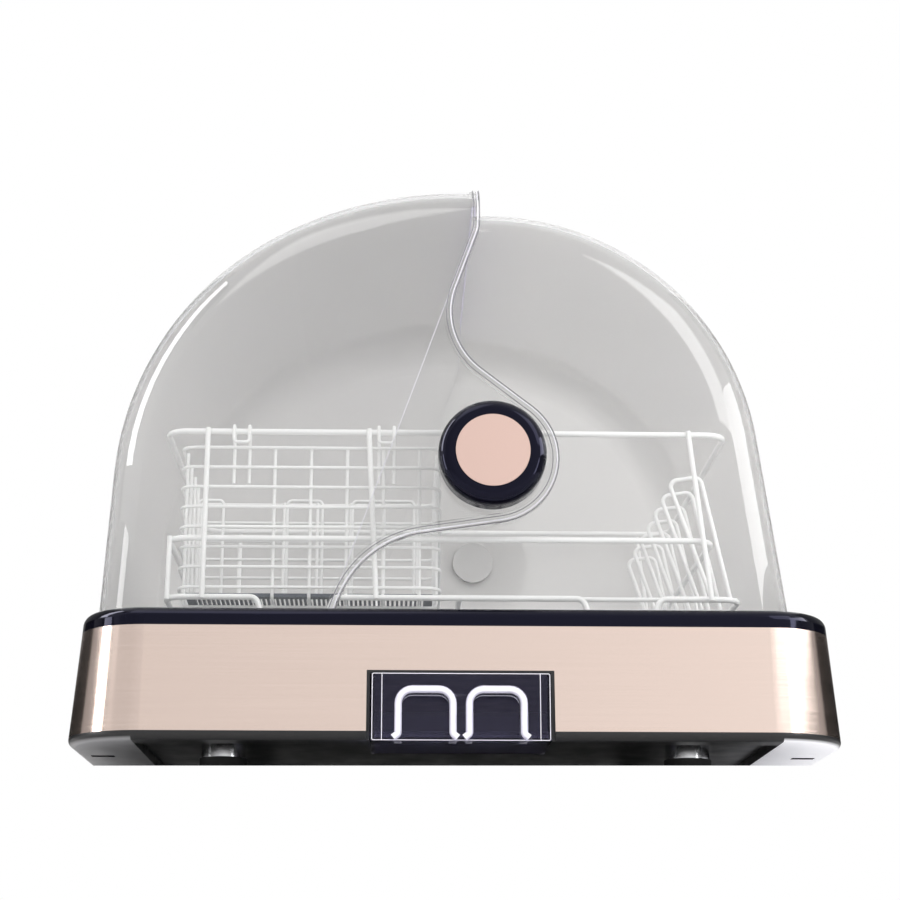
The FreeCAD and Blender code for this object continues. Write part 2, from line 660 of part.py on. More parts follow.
def bent_points(points, bends):
    """The corners of a path whose bends are drawn as a few short straight runs each."""
    steps = SIZES["bend_steps"][0]
    path = [points[0]]
    for before, corner, after, bend in zip(points, points[1:], points[2:], bends):
        back = (before - corner).normalize()
        ahead = (after - corner).normalize()
        half = back.getAngle(ahead) / 2
        middle = corner + (back + ahead).normalize() * (bend / math.sin(half))
        start = corner + back * (bend / math.tan(half)) - middle
        end = corner + ahead * (bend / math.tan(half)) - middle
        turn = start.getAngle(end)
        for step in range(steps + 1):
            share = step / steps
            way = start * math.sin((1 - share) * turn) + end * math.sin(share * turn)
            path.append(middle + way * (1 / math.sin(turn)))
    return path + [points[-1]]


def bent_wire(points, radius, bends):
    """A round wire along a path, mitred where it bends."""
    path = bent_points(points, bends)
    profile = Part.Wire(Part.Circle(path[0], path[1] - path[0], radius).toShape())
    return Part.makePolygon(path).makePipeShell([profile], True, False, 1)


def even_wire(points, radius, bend):
    """A round wire whose bends are all alike."""
    return bent_wire(points, radius, [bend] * (len(points) - 2))


def straight_wire(start, end, radius):
    return Part.makeCylinder(radius, (end - start).Length, start, end - start)


def ring_points(left, right, front, back, front_level, back_level):
    """A closed rectangle that starts and ends in the middle of its front."""
    middle = Vector((left + right) / 2, front, front_level)
    return [middle, Vector(right, front, front_level), Vector(right, back, back_level),
            Vector(left, back, back_level), Vector(left, front, front_level), middle]


# ------------------------------------------------------------ base casing

FOUR_CORNERS = ((-1, -1), (1, -1), (1, 1), (-1, 1))


def corner_rods(name, radius, x, y, z, length):
    return [rod("%s_%d" % (name, index), radius, "(%d) * (%s)" % (side_x, x), "(%d) * (%s)" % (side_y, y), z,
                length)
            for index, (side_x, side_y) in enumerate(FOUR_CORNERS, start=1)]


def bay_notch(name):
    """The way through the front wall and the floor for the drawer and its bay."""
    return box(name, "drawer_x - bay_half - bay_wall", "drawer_x + bay_half + bay_wall",
               "-base_width", "notch_back", "0", "bay_top")


def inlet_hole(name):
    return box(name, "inlet_x - inlet_width / 2 - inlet_clearance",
               "inlet_x + inlet_width / 2 + inlet_clearance",
               "0", "base_width", "inlet_z - inlet_height / 2 - inlet_clearance",
               "inlet_z + inlet_height / 2 + inlet_clearance")


def button_hole(name):
    return rod(name, "bezel_radius", "0", "button_y", "button_z", "base_length", "X")


def make_tub():
    skirt = rounded_block("skirt", "base_length", "base_width", "base_corner", "foot_height", "strip_height",
                          "base_draft")
    round_outline(skirt, "skirt_round", "foot_height")
    walls = overlap("tub_walls", envelope("tub_outside", "band_thickness"),
                    slab("tub_wall_slab", "band_bottom", "tub_top"))
    inside = overlap("tub_inside", envelope("tub_inner_face", "band_thickness + tub_wall"),
                     slab("tub_inside_slab", "floor_top", "base_top + rim_height"))
    hollow = cut("tub_hollow", union("tub_solid", skirt, walls), inside)
    limits = envelope("block_limits", "band_thickness")
    inlet_block = overlap("inlet_block", limits, box(
        "inlet_block_box", "inlet_x - inlet_width / 2 - 2 * inlet_flange",
        "inlet_x + inlet_width / 2 + 2 * inlet_flange",
        "inlet_face", "base_width", "floor_top", "inlet_z + inlet_height"))
    button_block = overlap("button_block", envelope("button_limits", "band_thickness"), box(
        "button_block_box", "block_face", "base_length", "button_y - 1.5 * bezel_radius",
        "button_y + 1.5 * bezel_radius", "floor_top", "button_z + 1.5 * bezel_radius"))
    bosses = corner_rods("casing_boss", "boss_radius", "boss_x", "boss_y", "floor_bottom",
                         "tub_top - floor_bottom")
    bosses += corner_rods("foot_boss", "foot_boss_radius", "foot_x", "foot_y", "floor_top",
                          "foot_boss_height")
    bosses += [rod("standoff_%d" % index, "standoff_radius", x, y, "floor_top", "standoff_height")
               for index, (x, y) in enumerate(board_holes(), start=1)]
    body = union("tub_body", hollow, inlet_block, button_block, *bosses)
    recess = centred_box("floor_recess", "0", "0", "base_length - 2 * end_pad",
                         "base_width - 2 * underside_border",
                         "0", "floor_bottom")
    holes = [recess, bay_notch("tub_notch"), inlet_hole("tub_inlet_hole"), button_hole("tub_button_hole")]
    holes += corner_rods("casing_bore", "casing_screw_radius", "boss_x", "boss_y", "0", "base_top")
    holes += corner_rods("foot_bore", "foot_screw_radius", "foot_x", "foot_y", "0", "base_top")
    holes += [rod("standoff_bore_%d" % index, "board_screw_radius", x, y, "floor_top", "standoff_height")
              for index, (x, y) in enumerate(board_holes(), start=1)]
    holes += [rod("inlet_bore_%d" % index, "inlet_screw_radius", x, "inlet_face", "inlet_z",
                  "block_depth - 3", "Y")
              for index, x in enumerate(inlet_screw_places(), start=1)]
    for index, (side_x, side_y) in enumerate(FOUR_CORNERS, start=1):
        holes.append(centred_box("pad_slot_%d" % index, "(%d) * pad_slot_x" % side_x,
                                 "(%d) * pad_slot_y" % side_y,
                                 "pad_slot_length", "pad_slot_width", "0", "foot_height + pad_slot_depth"))
    middle = (SIZES["intake_slots"][0] - 1) / 2
    for index in range(SIZES["intake_slots"][0]):
        holes.append(centred_box("intake_%d" % index, "fan_x + (%g) * intake_pitch" % (index - middle),
                                 "fan_y",
                                 "intake_slot", "intake_length", "0", "floor_top"))
    return node(cut("base_tub_solid", body, *holes), "base_tub")


def board_holes():
    """The board's four screws."""
    return [("board_x + (%d) * (board_length / 2 - board_inset)" % side_x,
             "board_y + (%d) * (board_width / 2 - board_inset)" % side_y) for side_x, side_y in FOUR_CORNERS]


def inlet_screw_places():
    return ["inlet_x + (%d) * (inlet_width / 2 + inlet_flange / 2)" % side for side in (-1, 1)]


def make_band():
    sheet = overlap("band_stock", envelope("band_outside", "0"),
                    slab("band_slab", "band_bottom", "rim_bottom"))
    wrap = cut("band_wrap", sheet, envelope("band_inside", "band_thickness"))
    return node(cut("band_solid", wrap, bay_notch("band_notch"), inlet_hole("band_inlet_hole"),
                    button_hole("band_button_hole")), "trim_band")


def make_rim():
    inset = "(rim_bottom - foot_height) * draft_slope"
    stock = rounded_block("rim_stock", "base_length - 2 * %s" % inset, "base_width - 2 * %s" % inset,
                          "base_corner - %s" % inset, "rim_bottom", "rim_height", "base_draft")
    round_outline(stock, "rim_round", "base_top")
    pocket = rounded_block("rim_pocket", "pocket_length", "pocket_width", "pocket_corner", "ledge_level",
                           "rim_height", x="pocket_x")
    opening = rounded_block("rim_opening", "opening_length", "opening_width", "opening_corner",
                            "rim_bottom - rim_height", "3 * rim_height", x="pocket_x")
    pilots = corner_rods("rim_pilot", "casing_screw_radius", "boss_x", "boss_y", "rim_bottom",
                         "casing_screw_bite")
    pilots += [rod("lug_pilot_%d" % index, "lug_screw_radius", x, y, "ledge_level - lug_screw_bite",
                   "lug_screw_bite") for index, (x, y) in enumerate(lug_places(), start=1)]
    return node(cut("rim_solid", stock, pocket, opening, *pilots), "top_rim")


def lug_places():
    """The screws of the fixed shell's lugs: two on its end wall, one each in front and behind."""
    end = "fixed_side - dome_wall - lug_width / 2"
    side = "fixed_inner - lug_width / 2"
    return [(end, "lug_y"), (end, "-lug_y"), ("lug_x", side), ("lug_x", "-(%s)" % side)]


def make_basin():
    flange = overlap("basin_flange", envelope("basin_outline", "band_thickness + rest_gap"),
                     slab("basin_slab", "tub_top", "rim_bottom"))
    well = rounded_block("basin_well", "opening_length + 2 * basin_sheet", "opening_width + 2 * basin_sheet",
                         "opening_corner + basin_sheet", "basin_under", "tub_top - basin_under", x="pocket_x")
    collar = centred_box("basin_collar", "air_x", "air_y", "air_length + 2 * air_wall",
                         "air_width + 2 * air_wall",
                         "basin_under", "basin_floor + air_collar")
    hollow = rounded_block("basin_hollow", "opening_length", "opening_width", "opening_corner", "basin_floor",
                           "base_top", x="pocket_x")
    tray = cut("basin_tray", union("basin_stock", flange, well), hollow)
    holes = [centred_box("basin_air_hole", "air_x", "air_y", "air_length", "air_width", "0", "base_top"),
             rod("basin_drain_hole", "drain_radius", "drawer_x", "drain_y", "0", "base_top")]
    holes += corner_rods("basin_bore", "casing_screw_radius", "boss_x", "boss_y", "tub_top - 1", "3")
    return node(cut("basin_solid", union("basin_body", tray, collar), *holes), "basin")


def make_feet():
    collars, rubbers, screws = [], [], []
    for index, (side_x, side_y) in enumerate(FOUR_CORNERS, start=1):
        place = ("(%d) * foot_x" % side_x, "(%d) * foot_y" % side_y)
        bore = rod("foot_hole_%d" % index, "foot_screw_radius", *place, "0", "base_top")
        sink = rod("foot_sink_%d" % index, "foot_head_radius", *place, "0",
                   "foot_head_depth + foot_head_height")
        collars.append(cut("foot_collar_%d" % index, rod("collar_stock_%d" % index, "foot_collar_radius",
                                                         *place,
                       "foot_rubber_height", "floor_bottom - foot_rubber_height"), bore))
        rubbers.append(cut("rubber_foot_%d" % index, rod("rubber_stock_%d" % index, "foot_radius", *place,
                                                         "0",
                       "foot_rubber_height"), sink, rod("foot_rubber_hole_%d" % index, "foot_screw_radius",
                                                        *place,
                                                         "0", "foot_height")))
        head = rod("foot_head_%d" % index, "foot_head_radius", *place, "foot_head_depth", "foot_head_height")
        shank = rod("foot_shank_%d" % index, "foot_screw_radius", *place, "foot_head_depth",
                    "floor_top + foot_boss_height - foot_head_depth")
        screws.append(union("foot_screw_%d" % index, head, shank))
    return [node(gather("foot_collar_set", collars), "foot_collars"),
            node(gather("rubber_foot_set", rubbers), "rubber_feet"),
            node(gather("foot_screw_set", screws), "foot_screws")]


def make_casing_screws():
    screws = []
    for index, (side_x, side_y) in enumerate(FOUR_CORNERS, start=1):
        place = ("(%d) * boss_x" % side_x, "(%d) * boss_y" % side_y)
        head = rod("casing_head_%d" % index, "casing_head_radius", *place,
                   "floor_bottom - casing_head_height",
                   "casing_head_height")
        shank = rod("casing_shank_%d" % index, "casing_screw_radius", *place,
                    "floor_bottom - casing_head_height",
                    "rim_bottom + casing_screw_bite - floor_bottom + casing_head_height")
        screws.append(union("casing_screw_%d" % index, head, shank))
    return node(gather("casing_screw_set", screws), "casing_screws")


# ------------------------------------------------------------ drip drawer

def make_bay():
    nose = box("bay_nose", "drawer_x - bay_half - bay_wall", "drawer_x + bay_half + bay_wall", "bay_front",
               "notch_back", "foot_height", "bay_top")
    rear = box("bay_rear", "drawer_x - bay_half - bay_wall", "drawer_x + bay_half + bay_wall", "bay_front",
               "bay_back", "floor_top", "bay_top")
    room = box("bay_room", "drawer_x - bay_half", "drawer_x + bay_half", "-base_width",
               "bay_back - bay_wall", "0",
               "bay_inner_top")
    drip = rod("bay_drip_hole", "drain_radius", "drawer_x", "drain_y", "0", "base_top")
    shell = cut("bay_shell", union("bay_stock", nose, rear), room, drip)
    runners = [box("runner_%d" % index, low, "%s + runner_width" % low, "notch_back", "bay_back - bay_wall",
                   "floor_top", "floor_top + runner_height")
               for index, low in enumerate(("drawer_x - bay_half", "drawer_x + bay_half - runner_width"))]
    return node(union("bay_solid", shell, *runners), "drawer_bay")


def arch_outline(grow, foot_flare):
    """The closed outline of an arch about its own middle: its legs stand on the drawer's underside."""
    half = num("arch_width") / 2 + grow
    low, high = num("drawer_bottom"), num("arch_top") + grow
    knee = low + num("arch_line")
    corner = num("arch_corner") + grow
    middle = Vector(0, 0, low)
    points = [middle, Vector(half + foot_flare, 0, low), Vector(half, 0, knee), Vector(half, 0, high),
              Vector(-half, 0, high), Vector(-half, 0, knee), Vector(-half - foot_flare, 0, low), middle]
    return Part.Face(Part.Wire(bent_edges(points, [0, 0, corner, corner, 0, 0])))


def arch_solid(side, grow, foot_flare, front, depth):
    shape = arch_outline(grow, foot_flare).extrude(Vector(0, depth, 0))
    shape.translate(Vector(num("drawer_x") + side * num("arch_pitch") / 2, front, 0))
    return shape


def make_drawer():
    left, right = "drawer_x - drawer_width / 2", "drawer_x + drawer_width / 2"
    inner_left, inner_right = left + " + drawer_wall", right + " - drawer_wall"
    nose = box("drawer_nose", left, right, "drawer_front", "nose_back", "drawer_bottom", "drawer_top")
    tray = box("drawer_tray", left, right, "nose_back - drawer_wall", "tray_back", "tray_bottom",
               "drawer_top - tray_drop")
    nose_room = box("nose_room", inner_left, inner_right, "drawer_front + drawer_wall",
                    "nose_back - drawer_wall",
                    "drawer_bottom + drawer_wall", "base_top")
    tray_room = box("tray_room", inner_left, inner_right, "nose_back - 2 * drawer_wall",
                    "tray_back - drawer_wall",
                    "tray_bottom + drawer_wall", "base_top")
    front, line, wall = num("drawer_front"), num("arch_line"), num("drawer_wall")
    blocks, pockets, beads = [], [], []
    for side in (-1, 1):
        blocks.append(arch_solid(side, 0, 0, front, num("recess_depth") + wall))
        pocket = arch_solid(side, -line, 0, front - 1, num("recess_depth") + 1)
        floor = Part.makeBox(num("drawer_width"), num("drawer_width"), wall,
                             Vector(num("drawer_x") - num("drawer_width") / 2, front - 1,
                                    num("drawer_bottom")))
        pockets.append(pocket.cut(floor))
        ring = arch_solid(side, 0, num("arch_flare"), front - num("arch_bead"), num("arch_bead"))
        mouth = arch_solid(side, -line, num("arch_flare"), front - num("arch_bead") - 1, num("arch_bead") + 2)
        beads.append(ring.cut(mouth))
    hollow = cut("drawer_hollow", union("drawer_stock", nose, tray), nose_room, tray_room)
    body = union("drawer_body", hollow, drawn("arch_blocks", blocks[0].fuse(blocks[1])),
                 drawn("arch_beads", beads[0].fuse(beads[1])))
    return node(cut("drawer_solid", body, drawn("finger_pockets", pockets[0].fuse(pockets[1]))),
                "drip_drawer")


def make_drain():
    tube = rod("spout_tube", "drain_radius", "drawer_x", "drain_y", "bay_inner_top",
               "basin_floor - bay_inner_top")
    flange = rod("spout_flange", "drain_flange_radius", "drawer_x", "drain_y", "basin_floor", "drain_flange")
    bore = rod("spout_bore", "drain_radius - drain_wall", "drawer_x", "drain_y", "0", "base_top")
    return node(cut("spout_solid", union("spout_stock", tube, flange), bore), "drain_spout")


# ------------------------------------------------------------ dome

def draw_path(sketch, pieces):
    """Adds lines and arcs given by their ends (and a middle, for an arc); returns their indices."""
    indices = []
    for points in pieces:
        flat = [Vector(point.x, point.z, 0) for point in points]
        piece = Part.LineSegment(*flat) if len(flat) == 2 else Part.ArcOfCircle(*flat)
        indices.append(sketch.addGeometry(piece, False))
    return indices


def lid_block(name, inset):
    """The lid's outside, moved inwards by inset: a leaning side, a shoulder and a crown."""
    body = doc.addObject("PartDesign::Body", name)
    sketch = sketch_on(body, name + "_outline", "XZ_Plane")
    lean, turn = num("lid_lean"), num("lid_shoulder_turn")
    shoulder, crown = num("lid_shoulder_radius"), num("lid_crown_radius")
    hub = Vector(num("shoulder_x"), 0, num("shoulder_z"))
    crown_hub = Vector(num("crown_x"), 0, num("crown_z"))
    floor = num("ledge_level")
    knee = hub + turned(180 - lean) * shoulder
    foot = Vector(knee.x - (knee.z - floor) * math.tan(math.radians(lean)), 0, floor)
    bend = hub + turned(180 - lean - turn / 2) * shoulder
    join = hub + turned(180 - lean - turn) * shoulder
    reach = num("lid_reach")
    top = crown_hub + Vector(reach - crown_hub.x, 0, math.sqrt(crown ** 2 - (reach - crown_hub.x) ** 2))
    over = math.degrees(math.atan2(top.z - crown_hub.z, top.x - crown_hub.x))
    middle = crown_hub + turned((180 - lean - turn + over) / 2) * crown
    side, low_arc, high_arc, end, base = draw_path(sketch, (
        (foot, knee), (join, bend, knee), (top, middle, join), (top, Vector(reach, 0, floor)),
        (Vector(reach, 0, floor), foot)))
    low_first = (sketch.getPoint(low_arc, 1) - sketch.getPoint(side, 2)).Length < 1e-3
    low_knee, low_join = (1, 2) if low_first else (2, 1)
    high_first = (sketch.getPoint(high_arc, 1) - sketch.getPoint(low_arc, low_join)).Length < 1e-3
    high_join, high_top = (1, 2) if high_first else (2, 1)
    constrain(sketch, "Tangent", side, 2, low_arc, low_knee)
    constrain(sketch, "Tangent", low_arc, low_join, high_arc, high_join)
    constrain(sketch, "Coincident", high_arc, high_top, end, 1)
    constrain(sketch, "Coincident", end, 2, base, 1)
    constrain(sketch, "Coincident", base, 2, side, 1)
    constrain(sketch, "Vertical", end)
    constrain(sketch, "Horizontal", base)
    constrain(sketch, "DistanceY", -1, 1, side, 1, name="floor", text="ledge_level")
    constrain(sketch, "DistanceX", low_arc, 3, -1, 1, name="hub_x", text="-shoulder_x")
    constrain(sketch, "DistanceY", -1, 1, low_arc, 3, name="hub_z", text="shoulder_z")
    constrain(sketch, "Radius", low_arc, name="shoulder", text="lid_shoulder_radius - (%s)" % inset)
    constrain(sketch, "DistanceX", -1, 1, high_arc, 3, name="crown_x", text="crown_x")
    constrain(sketch, "DistanceY", -1, 1, high_arc, 3, name="crown_z", text="crown_z")
    constrain(sketch, "DistanceX", -1, 1, end, 1, name="reach", text="lid_reach")
    constrain(sketch, "DistanceX", side, 1, -1, 1, name="foot",
              text="lid_side - (%s) / cos(lid_lean)" % inset)
    block = pad(body, sketch, "dome_depth - 2 * (%s)" % inset, both_ways=True)
    round_long_edges(body, block, "dome_round - (%s)" % inset)
    return body


def round_long_edges(body, block, radius):
    """Rounds the front and rear outlines of a dome's block, but for its floor and its inner end."""
    doc.recompute()
    bounds = block.Shape.BoundBox

    def is_long(edge):
        middle = edge.valueAt((edge.FirstParameter + edge.LastParameter) / 2)
        ends = [vertex.Point for vertex in edge.Vertexes]
        flat = abs(ends[0].y - ends[-1].y) < 1e-6 and abs(abs(middle.y) - bounds.YMax) < 1e-3
        on_floor = abs(ends[0].z - ends[-1].z) < 1e-6 and abs(ends[0].z - num("ledge_level")) < 1e-3
        upright = abs(ends[0].x - ends[-1].x) < 1e-6
        return flat and not on_floor and not upright
    return fillet(body, block, radius, is_long)


def fixed_block(name, inset):
    """The fixed shell's outside, moved inwards by inset: round about the pivot, then down a leaning side."""
    body = doc.addObject("PartDesign::Body", name)
    sketch = sketch_on(body, name + "_outline", "XZ_Plane")
    lean, radius, floor = num("fixed_lean"), num("fixed_radius"), num("ledge_level")
    hub = Vector(num("pivot_x"), 0, num("pivot_level"))
    knee = hub + turned(lean) * radius
    foot = Vector(num("fixed_side"), 0, floor)
    left = -num("fixed_reach")
    end_heading = math.degrees(math.acos(left / radius))
    top = hub + turned(end_heading) * radius
    bend = hub + turned((lean + end_heading) / 2) * radius
    side, arc, end, base = draw_path(sketch, (
        (foot, knee), (knee, bend, top), (top, Vector(top.x, 0, floor)), (Vector(top.x, 0, floor), foot)))
    constrain(sketch, "Tangent", side, 2, arc, 1)
    constrain(sketch, "Coincident", arc, 2, end, 1)
    constrain(sketch, "Coincident", end, 2, base, 1)
    constrain(sketch, "Coincident", base, 2, side, 1)
    constrain(sketch, "Vertical", end)
    constrain(sketch, "Horizontal", base)
    constrain(sketch, "DistanceX", -1, 1, arc, 3, name="hub_x", text="pivot_x")
    constrain(sketch, "DistanceY", -1, 1, arc, 3, name="hub_z", text="pivot_level")
    constrain(sketch, "Radius", arc, name="round", text="fixed_radius - (%s)" % inset)
    constrain(sketch, "DistanceX", arc, 2, arc, 3, name="reach", text="fixed_reach")
    constrain(sketch, "DistanceY", -1, 1, side, 1, name="floor", text="ledge_level")
    constrain(sketch, "DistanceX", -1, 1, side, 1, name="foot",
              text="fixed_side - (%s) / cos(fixed_lean)" % inset)
    block = pad(body, sketch, "2 * (fixed_half - (%s))" % inset, both_ways=True)
    round_long_edges(body, block, "dome_round - dome_wall - shell_gap - (%s)" % inset)
    return body


def edge_points(shift, lower, upper):
    """Corners of the dome's sloping edge, moved left by shift: the one round the pivot and the straight one."""
    foot = Vector(-num("edge_foot"), 0, num("base_top"))
    hub = Vector(num("pivot_x"), 0, num("pivot_level"))
    ring, slope = num("edge_ring"), num("edge_slope")
    under, over = num("edge_lower_slope"), num("edge_upper_slope")

    def line(point, heading):
        return point + turned(heading + 90) * shift, heading
    sloping = line(foot, slope)
    below = line(hub + turned(under - 90) * ring, under)
    above = line(hub + turned(over - 90) * ring, over)
    upright = line(Vector(num("edge_lip_x"), 0, 0), 90)
    bottom, top = (Vector(0, 0, lower), 0), (Vector(0, 0, upper), 0)
    winding = [crossing(bottom, sloping), crossing(sloping, below), crossing(below, above),
               crossing(above, sloping), crossing(sloping, upright), crossing(upright, top)]
    straight = [winding[0], winding[4], winding[5]]
    return winding, straight


def left_of(points, bends, name):
    """Everything to the left of a path that runs upwards, as a block across the whole depth."""
    far = -num("base_length")
    edges = bent_edges(points, bends)
    edges.append(Part.LineSegment(points[-1], Vector(far, 0, points[-1].z)).toShape())
    edges.append(Part.LineSegment(Vector(far, 0, points[-1].z), Vector(far, 0, points[0].z)).toShape())
    edges.append(Part.LineSegment(Vector(far, 0, points[0].z), points[0]).toShape())
    depth = num("base_width")
    face = Part.Face(Part.Wire(edges))
    face.translate(Vector(0, -depth, 0))
    return drawn(name, face.extrude(Vector(0, 2 * depth, 0)))


def lid_bends(shift):
    """The path's bends: those that turn left tighten when the path moves left, the others widen."""
    return [num("edge_lower_bend") + shift, num("edge_ring") - shift, num("edge_upper_bend") + shift,
            num("edge_lip_bend") - shift]


def make_lid():
    low, high = num("lid_bottom"), num("pivot_level") + 2 * num("fixed_radius")
    outside, inside = lid_block("lid_outside", "0"), lid_block("lid_inside", "dome_wall")
    raised = lid_block("lid_raised", "-bead_height")
    keep = left_of(edge_points(0, low, high)[0], lid_bends(0), "lid_region")
    inner = left_of(edge_points(num("bead_width"), low - 1, high + 1)[0], lid_bends(num("bead_width")),
                    "lid_bead_inner")
    wall = overlap("lid_wall", cut("lid_hollow", outside, inside), keep)
    keep_bead = left_of(edge_points(0, low, high)[0], lid_bends(0), "bead_region")
    bead_stock = overlap("bead_stock", cut("bead_hollow", raised, lid_block("bead_inside", "dome_wall / 2")),
                         keep_bead)
    bead = cut("bead", bead_stock, inner)
    holes = [rod("lid_pivot_hole", "bush_radius", "pivot_x", "-base_width", "pivot_level", "2 * base_width",
                 "Y")]
    return node(cut("lid_solid", union("lid_body", wall, bead), *holes), "lid_shell")


def make_fixed_shell():
    low, high = num("ledge_level") - 1, num("pivot_level") + 2 * num("fixed_radius")
    shell = cut("fixed_hollow", fixed_block("fixed_outside", "0"), fixed_block("fixed_inside", "dome_wall"))
    drop = left_of(edge_points(num("shell_overlap"), low, high)[1],
                   [num("edge_lip_bend") - num("shell_overlap")],
                   "fixed_left")
    body = cut("fixed_wall", shell, drop)
    lugs = []
    for index, (x, y) in enumerate(lug_places(), start=1):
        on_end = index <= 2
        length, width = ("lug_width + 1", "lug_length") if on_end else ("lug_length", "lug_width + 1")
        reach_x = "(%s) + 0.5" % x if on_end else x
        reach_y = y if on_end else "(%s) + %s" % (y, "0.5" if index == 3 else "-0.5")
        lugs.append(centred_box("lug_%d" % index, reach_x, reach_y, length, width, "ledge_level",
                                "ledge_level + lug_thickness"))
    holes = [rod("fixed_pivot_hole", "pin_radius", "pivot_x", "-base_width", "pivot_level", "2 * base_width",
                 "Y")]
    holes += [rod("lug_hole_%d" % index, "lug_screw_radius", x, y, "0", "ledge_level + 2 * lug_thickness")
              for index, (x, y) in enumerate(lug_places(), start=1)]
    return node(cut("fixed_solid", union("fixed_body", body, *lugs), *holes), "fixed_shell")


def make_shell_screws():
    screws = []
    for index, (x, y) in enumerate(lug_places(), start=1):
        head = rod("lug_head_%d" % index, "lug_head_radius", x, y, "ledge_level + lug_thickness",
                   "lug_head_height")
        shank = rod("lug_shank_%d" % index, "lug_screw_radius", x, y, "ledge_level - lug_screw_bite",
                    "lug_screw_bite + lug_thickness")
        screws.append(union("lug_screw_%d" % index, head, shank))
    return node(gather("lug_screw_set", screws), "fixed_shell_screws")


def make_gasket():
    inset = "(seat_clearance - (gasket_width - dome_wall) / 2)"
    deeper = "(seat_clearance + (gasket_width + dome_wall) / 2)"
    outer = rounded_block("gasket_outer", "pocket_length - 2 * %s" % inset, "pocket_width - 2 * %s" % inset,
                          "pocket_corner - %s" % inset, "ledge_level", "gasket_height", x="pocket_x")
    inner = rounded_block("gasket_inner", "pocket_length - 2 * %s" % deeper, "pocket_width - 2 * %s" % deeper,
                          "pocket_corner - %s" % deeper, "0", "base_top + rim_height", x="pocket_x")
    half = box("gasket_half", "-base_length", "-edge_foot - shell_overlap - shell_gap - dome_wall",
               "-base_width",
               "base_width", "0", "base_top")
    return node(overlap("gasket_solid", cut("gasket_ring", outer, inner), half), "lid_gasket")


def make_crown_seal():
    """The strip that stands on the fixed shell's upper edge and closes the gap under the lid's lip."""
    left = "edge_lip_x - shell_overlap"
    block = box("seal_block", left, left + " + seal_thickness", "-(fixed_half - dome_round)",
                "fixed_half - dome_round", "pivot_level", "lid_inner_top - seal_gap")
    below = rod("seal_seat", "fixed_radius", "pivot_x", "-base_width", "pivot_level", "2 * base_width", "Y")
    return node(cut("seal_solid", block, below), "crown_seal")


# ------------------------------------------------------------ pivots

SIDES = (("front", -1), ("rear", 1))


def side_rod(name, side, radius, near, far):
    """A cylinder on the pivot axis between two distances from the middle, on one side of the dome."""
    start = "-(%s)" % far if side < 0 else near
    return rod(name, radius, "pivot_x", start, "pivot_level", "(%s) - (%s)" % (far, near), "Y")


def make_pivot(word, side):
    def part_of(piece, radius, near, far):
        return side_rod("%s_%s" % (word, piece), side, radius, near, far)
    flange = part_of("pin_flange", "pin_flange_radius", "fixed_inner - pin_flange", "fixed_inner")
    shank = part_of("pin_shank", "pin_radius", "fixed_inner - pin_flange", "pin_end")
    tap = part_of("pin_tap", "pin_screw_radius", "pin_end - pin_screw_bite", "pin_end + 1")
    node(cut(word + "_pin_solid", union(word + "_pin_stock", flange, shank), tap), word + "_pivot_pin")
    barrel = part_of("bush_barrel", "bush_radius", "lid_half - dome_wall", "lid_half")
    collar = part_of("bush_collar", "bush_flange_radius", "lid_half", "lid_half + bush_flange")
    bore = part_of("bush_bore", "pin_radius + pin_running", "0", "base_width")
    node(cut(word + "_bush_solid", union(word + "_bush_stock", barrel, collar), bore), word + "_pivot_bush")
    washer = part_of("washer_stock", "washer_radius", "pin_end", "pin_end + washer_thickness")
    node(cut(word + "_washer_solid", washer, part_of("washer_hole", "pin_screw_radius", "0", "base_width")),
         word + "_pivot_washer")
    head_seat = "pin_end + washer_thickness"
    head = part_of("screw_head", "pin_head_radius", head_seat, head_seat + " + pin_head_height")
    thread = part_of("screw_thread", "pin_screw_radius", "pin_end - pin_screw_bite", head_seat)
    node(union(word + "_screw_solid", head, thread), word + "_pivot_screw")
    make_cap(word, side, part_of)


def make_cap(word, side, part_of):
    """The black cap snaps over the bush's collar; a rose-gold disc is set in its face."""
    body = doc.addObject("PartDesign::Body", word + "_cap_blank")
    sketch = sketch_on(body, word + "_cap_circle", "XZ_Plane", "pivot_x", "pivot_level",
                       "cap_front" if side < 0 else "-lid_half")
    circle = sketch.addGeometry(Part.Circle(Vector(), Vector(0, 0, 1), 10.0), False)
    constrain(sketch, "Coincident", circle, 3, -1, 1)
    constrain(sketch, "Radius", circle, name="rim", text="cap_radius")
    blank = pad(body, sketch, "cap_depth")
    blank.Reversed = True
    doc.recompute()
    face = side * num("cap_front")
    fillet(body, blank, "cap_round", lambda edge: abs(edge.BoundBox.YMin - face) < 1e-3
           and abs(edge.BoundBox.YMax - face) < 1e-3)
    floor = "cap_front - cap_wall - disc_inset"
    room = cut(word + "_cap_room", part_of("cap_hollow", "cap_radius - cap_wall", "lid_half - 1", floor),
               part_of("cap_socket_wall", "bush_flange_radius + rest_gap + cap_socket", "0", "base_width"))
    well = part_of("cap_well", "bush_flange_radius + rest_gap", "lid_half - 1", floor)
    seat = part_of("cap_disc_seat", "disc_radius", "cap_front - disc_inset", "cap_front + 1")
    node(cut(word + "_cap_solid", body, room, well, seat), word + "_pivot_cap")
    node(part_of("disc_solid", "disc_radius - disc_gap", "cap_front - disc_inset", "cap_front + disc_proud"),
         word + "_cap_disc")


def make_lid_magnet():
    wall = "-(lid_side - dome_wall / cos(lid_lean)) + (lid_bottom + magnet_size - ledge_level) * tan(lid_lean)"
    return node(box("magnet_solid", wall, wall + " + magnet_size / 2", "-magnet_length / 2",
                    "magnet_length / 2",
                    "lid_bottom", "lid_bottom + magnet_size"), "lid_magnet")


def make_reed_switch():
    return node(rod("reed_solid", "reed_radius", "-(opening_length / 2 - pocket_x + basin_sheet + reed_radius)",
                    "-reed_length / 2", "tub_top - reed_radius", "reed_length", "Y"), "reed_switch")


# ------------------------------------------------------------ blower and heater

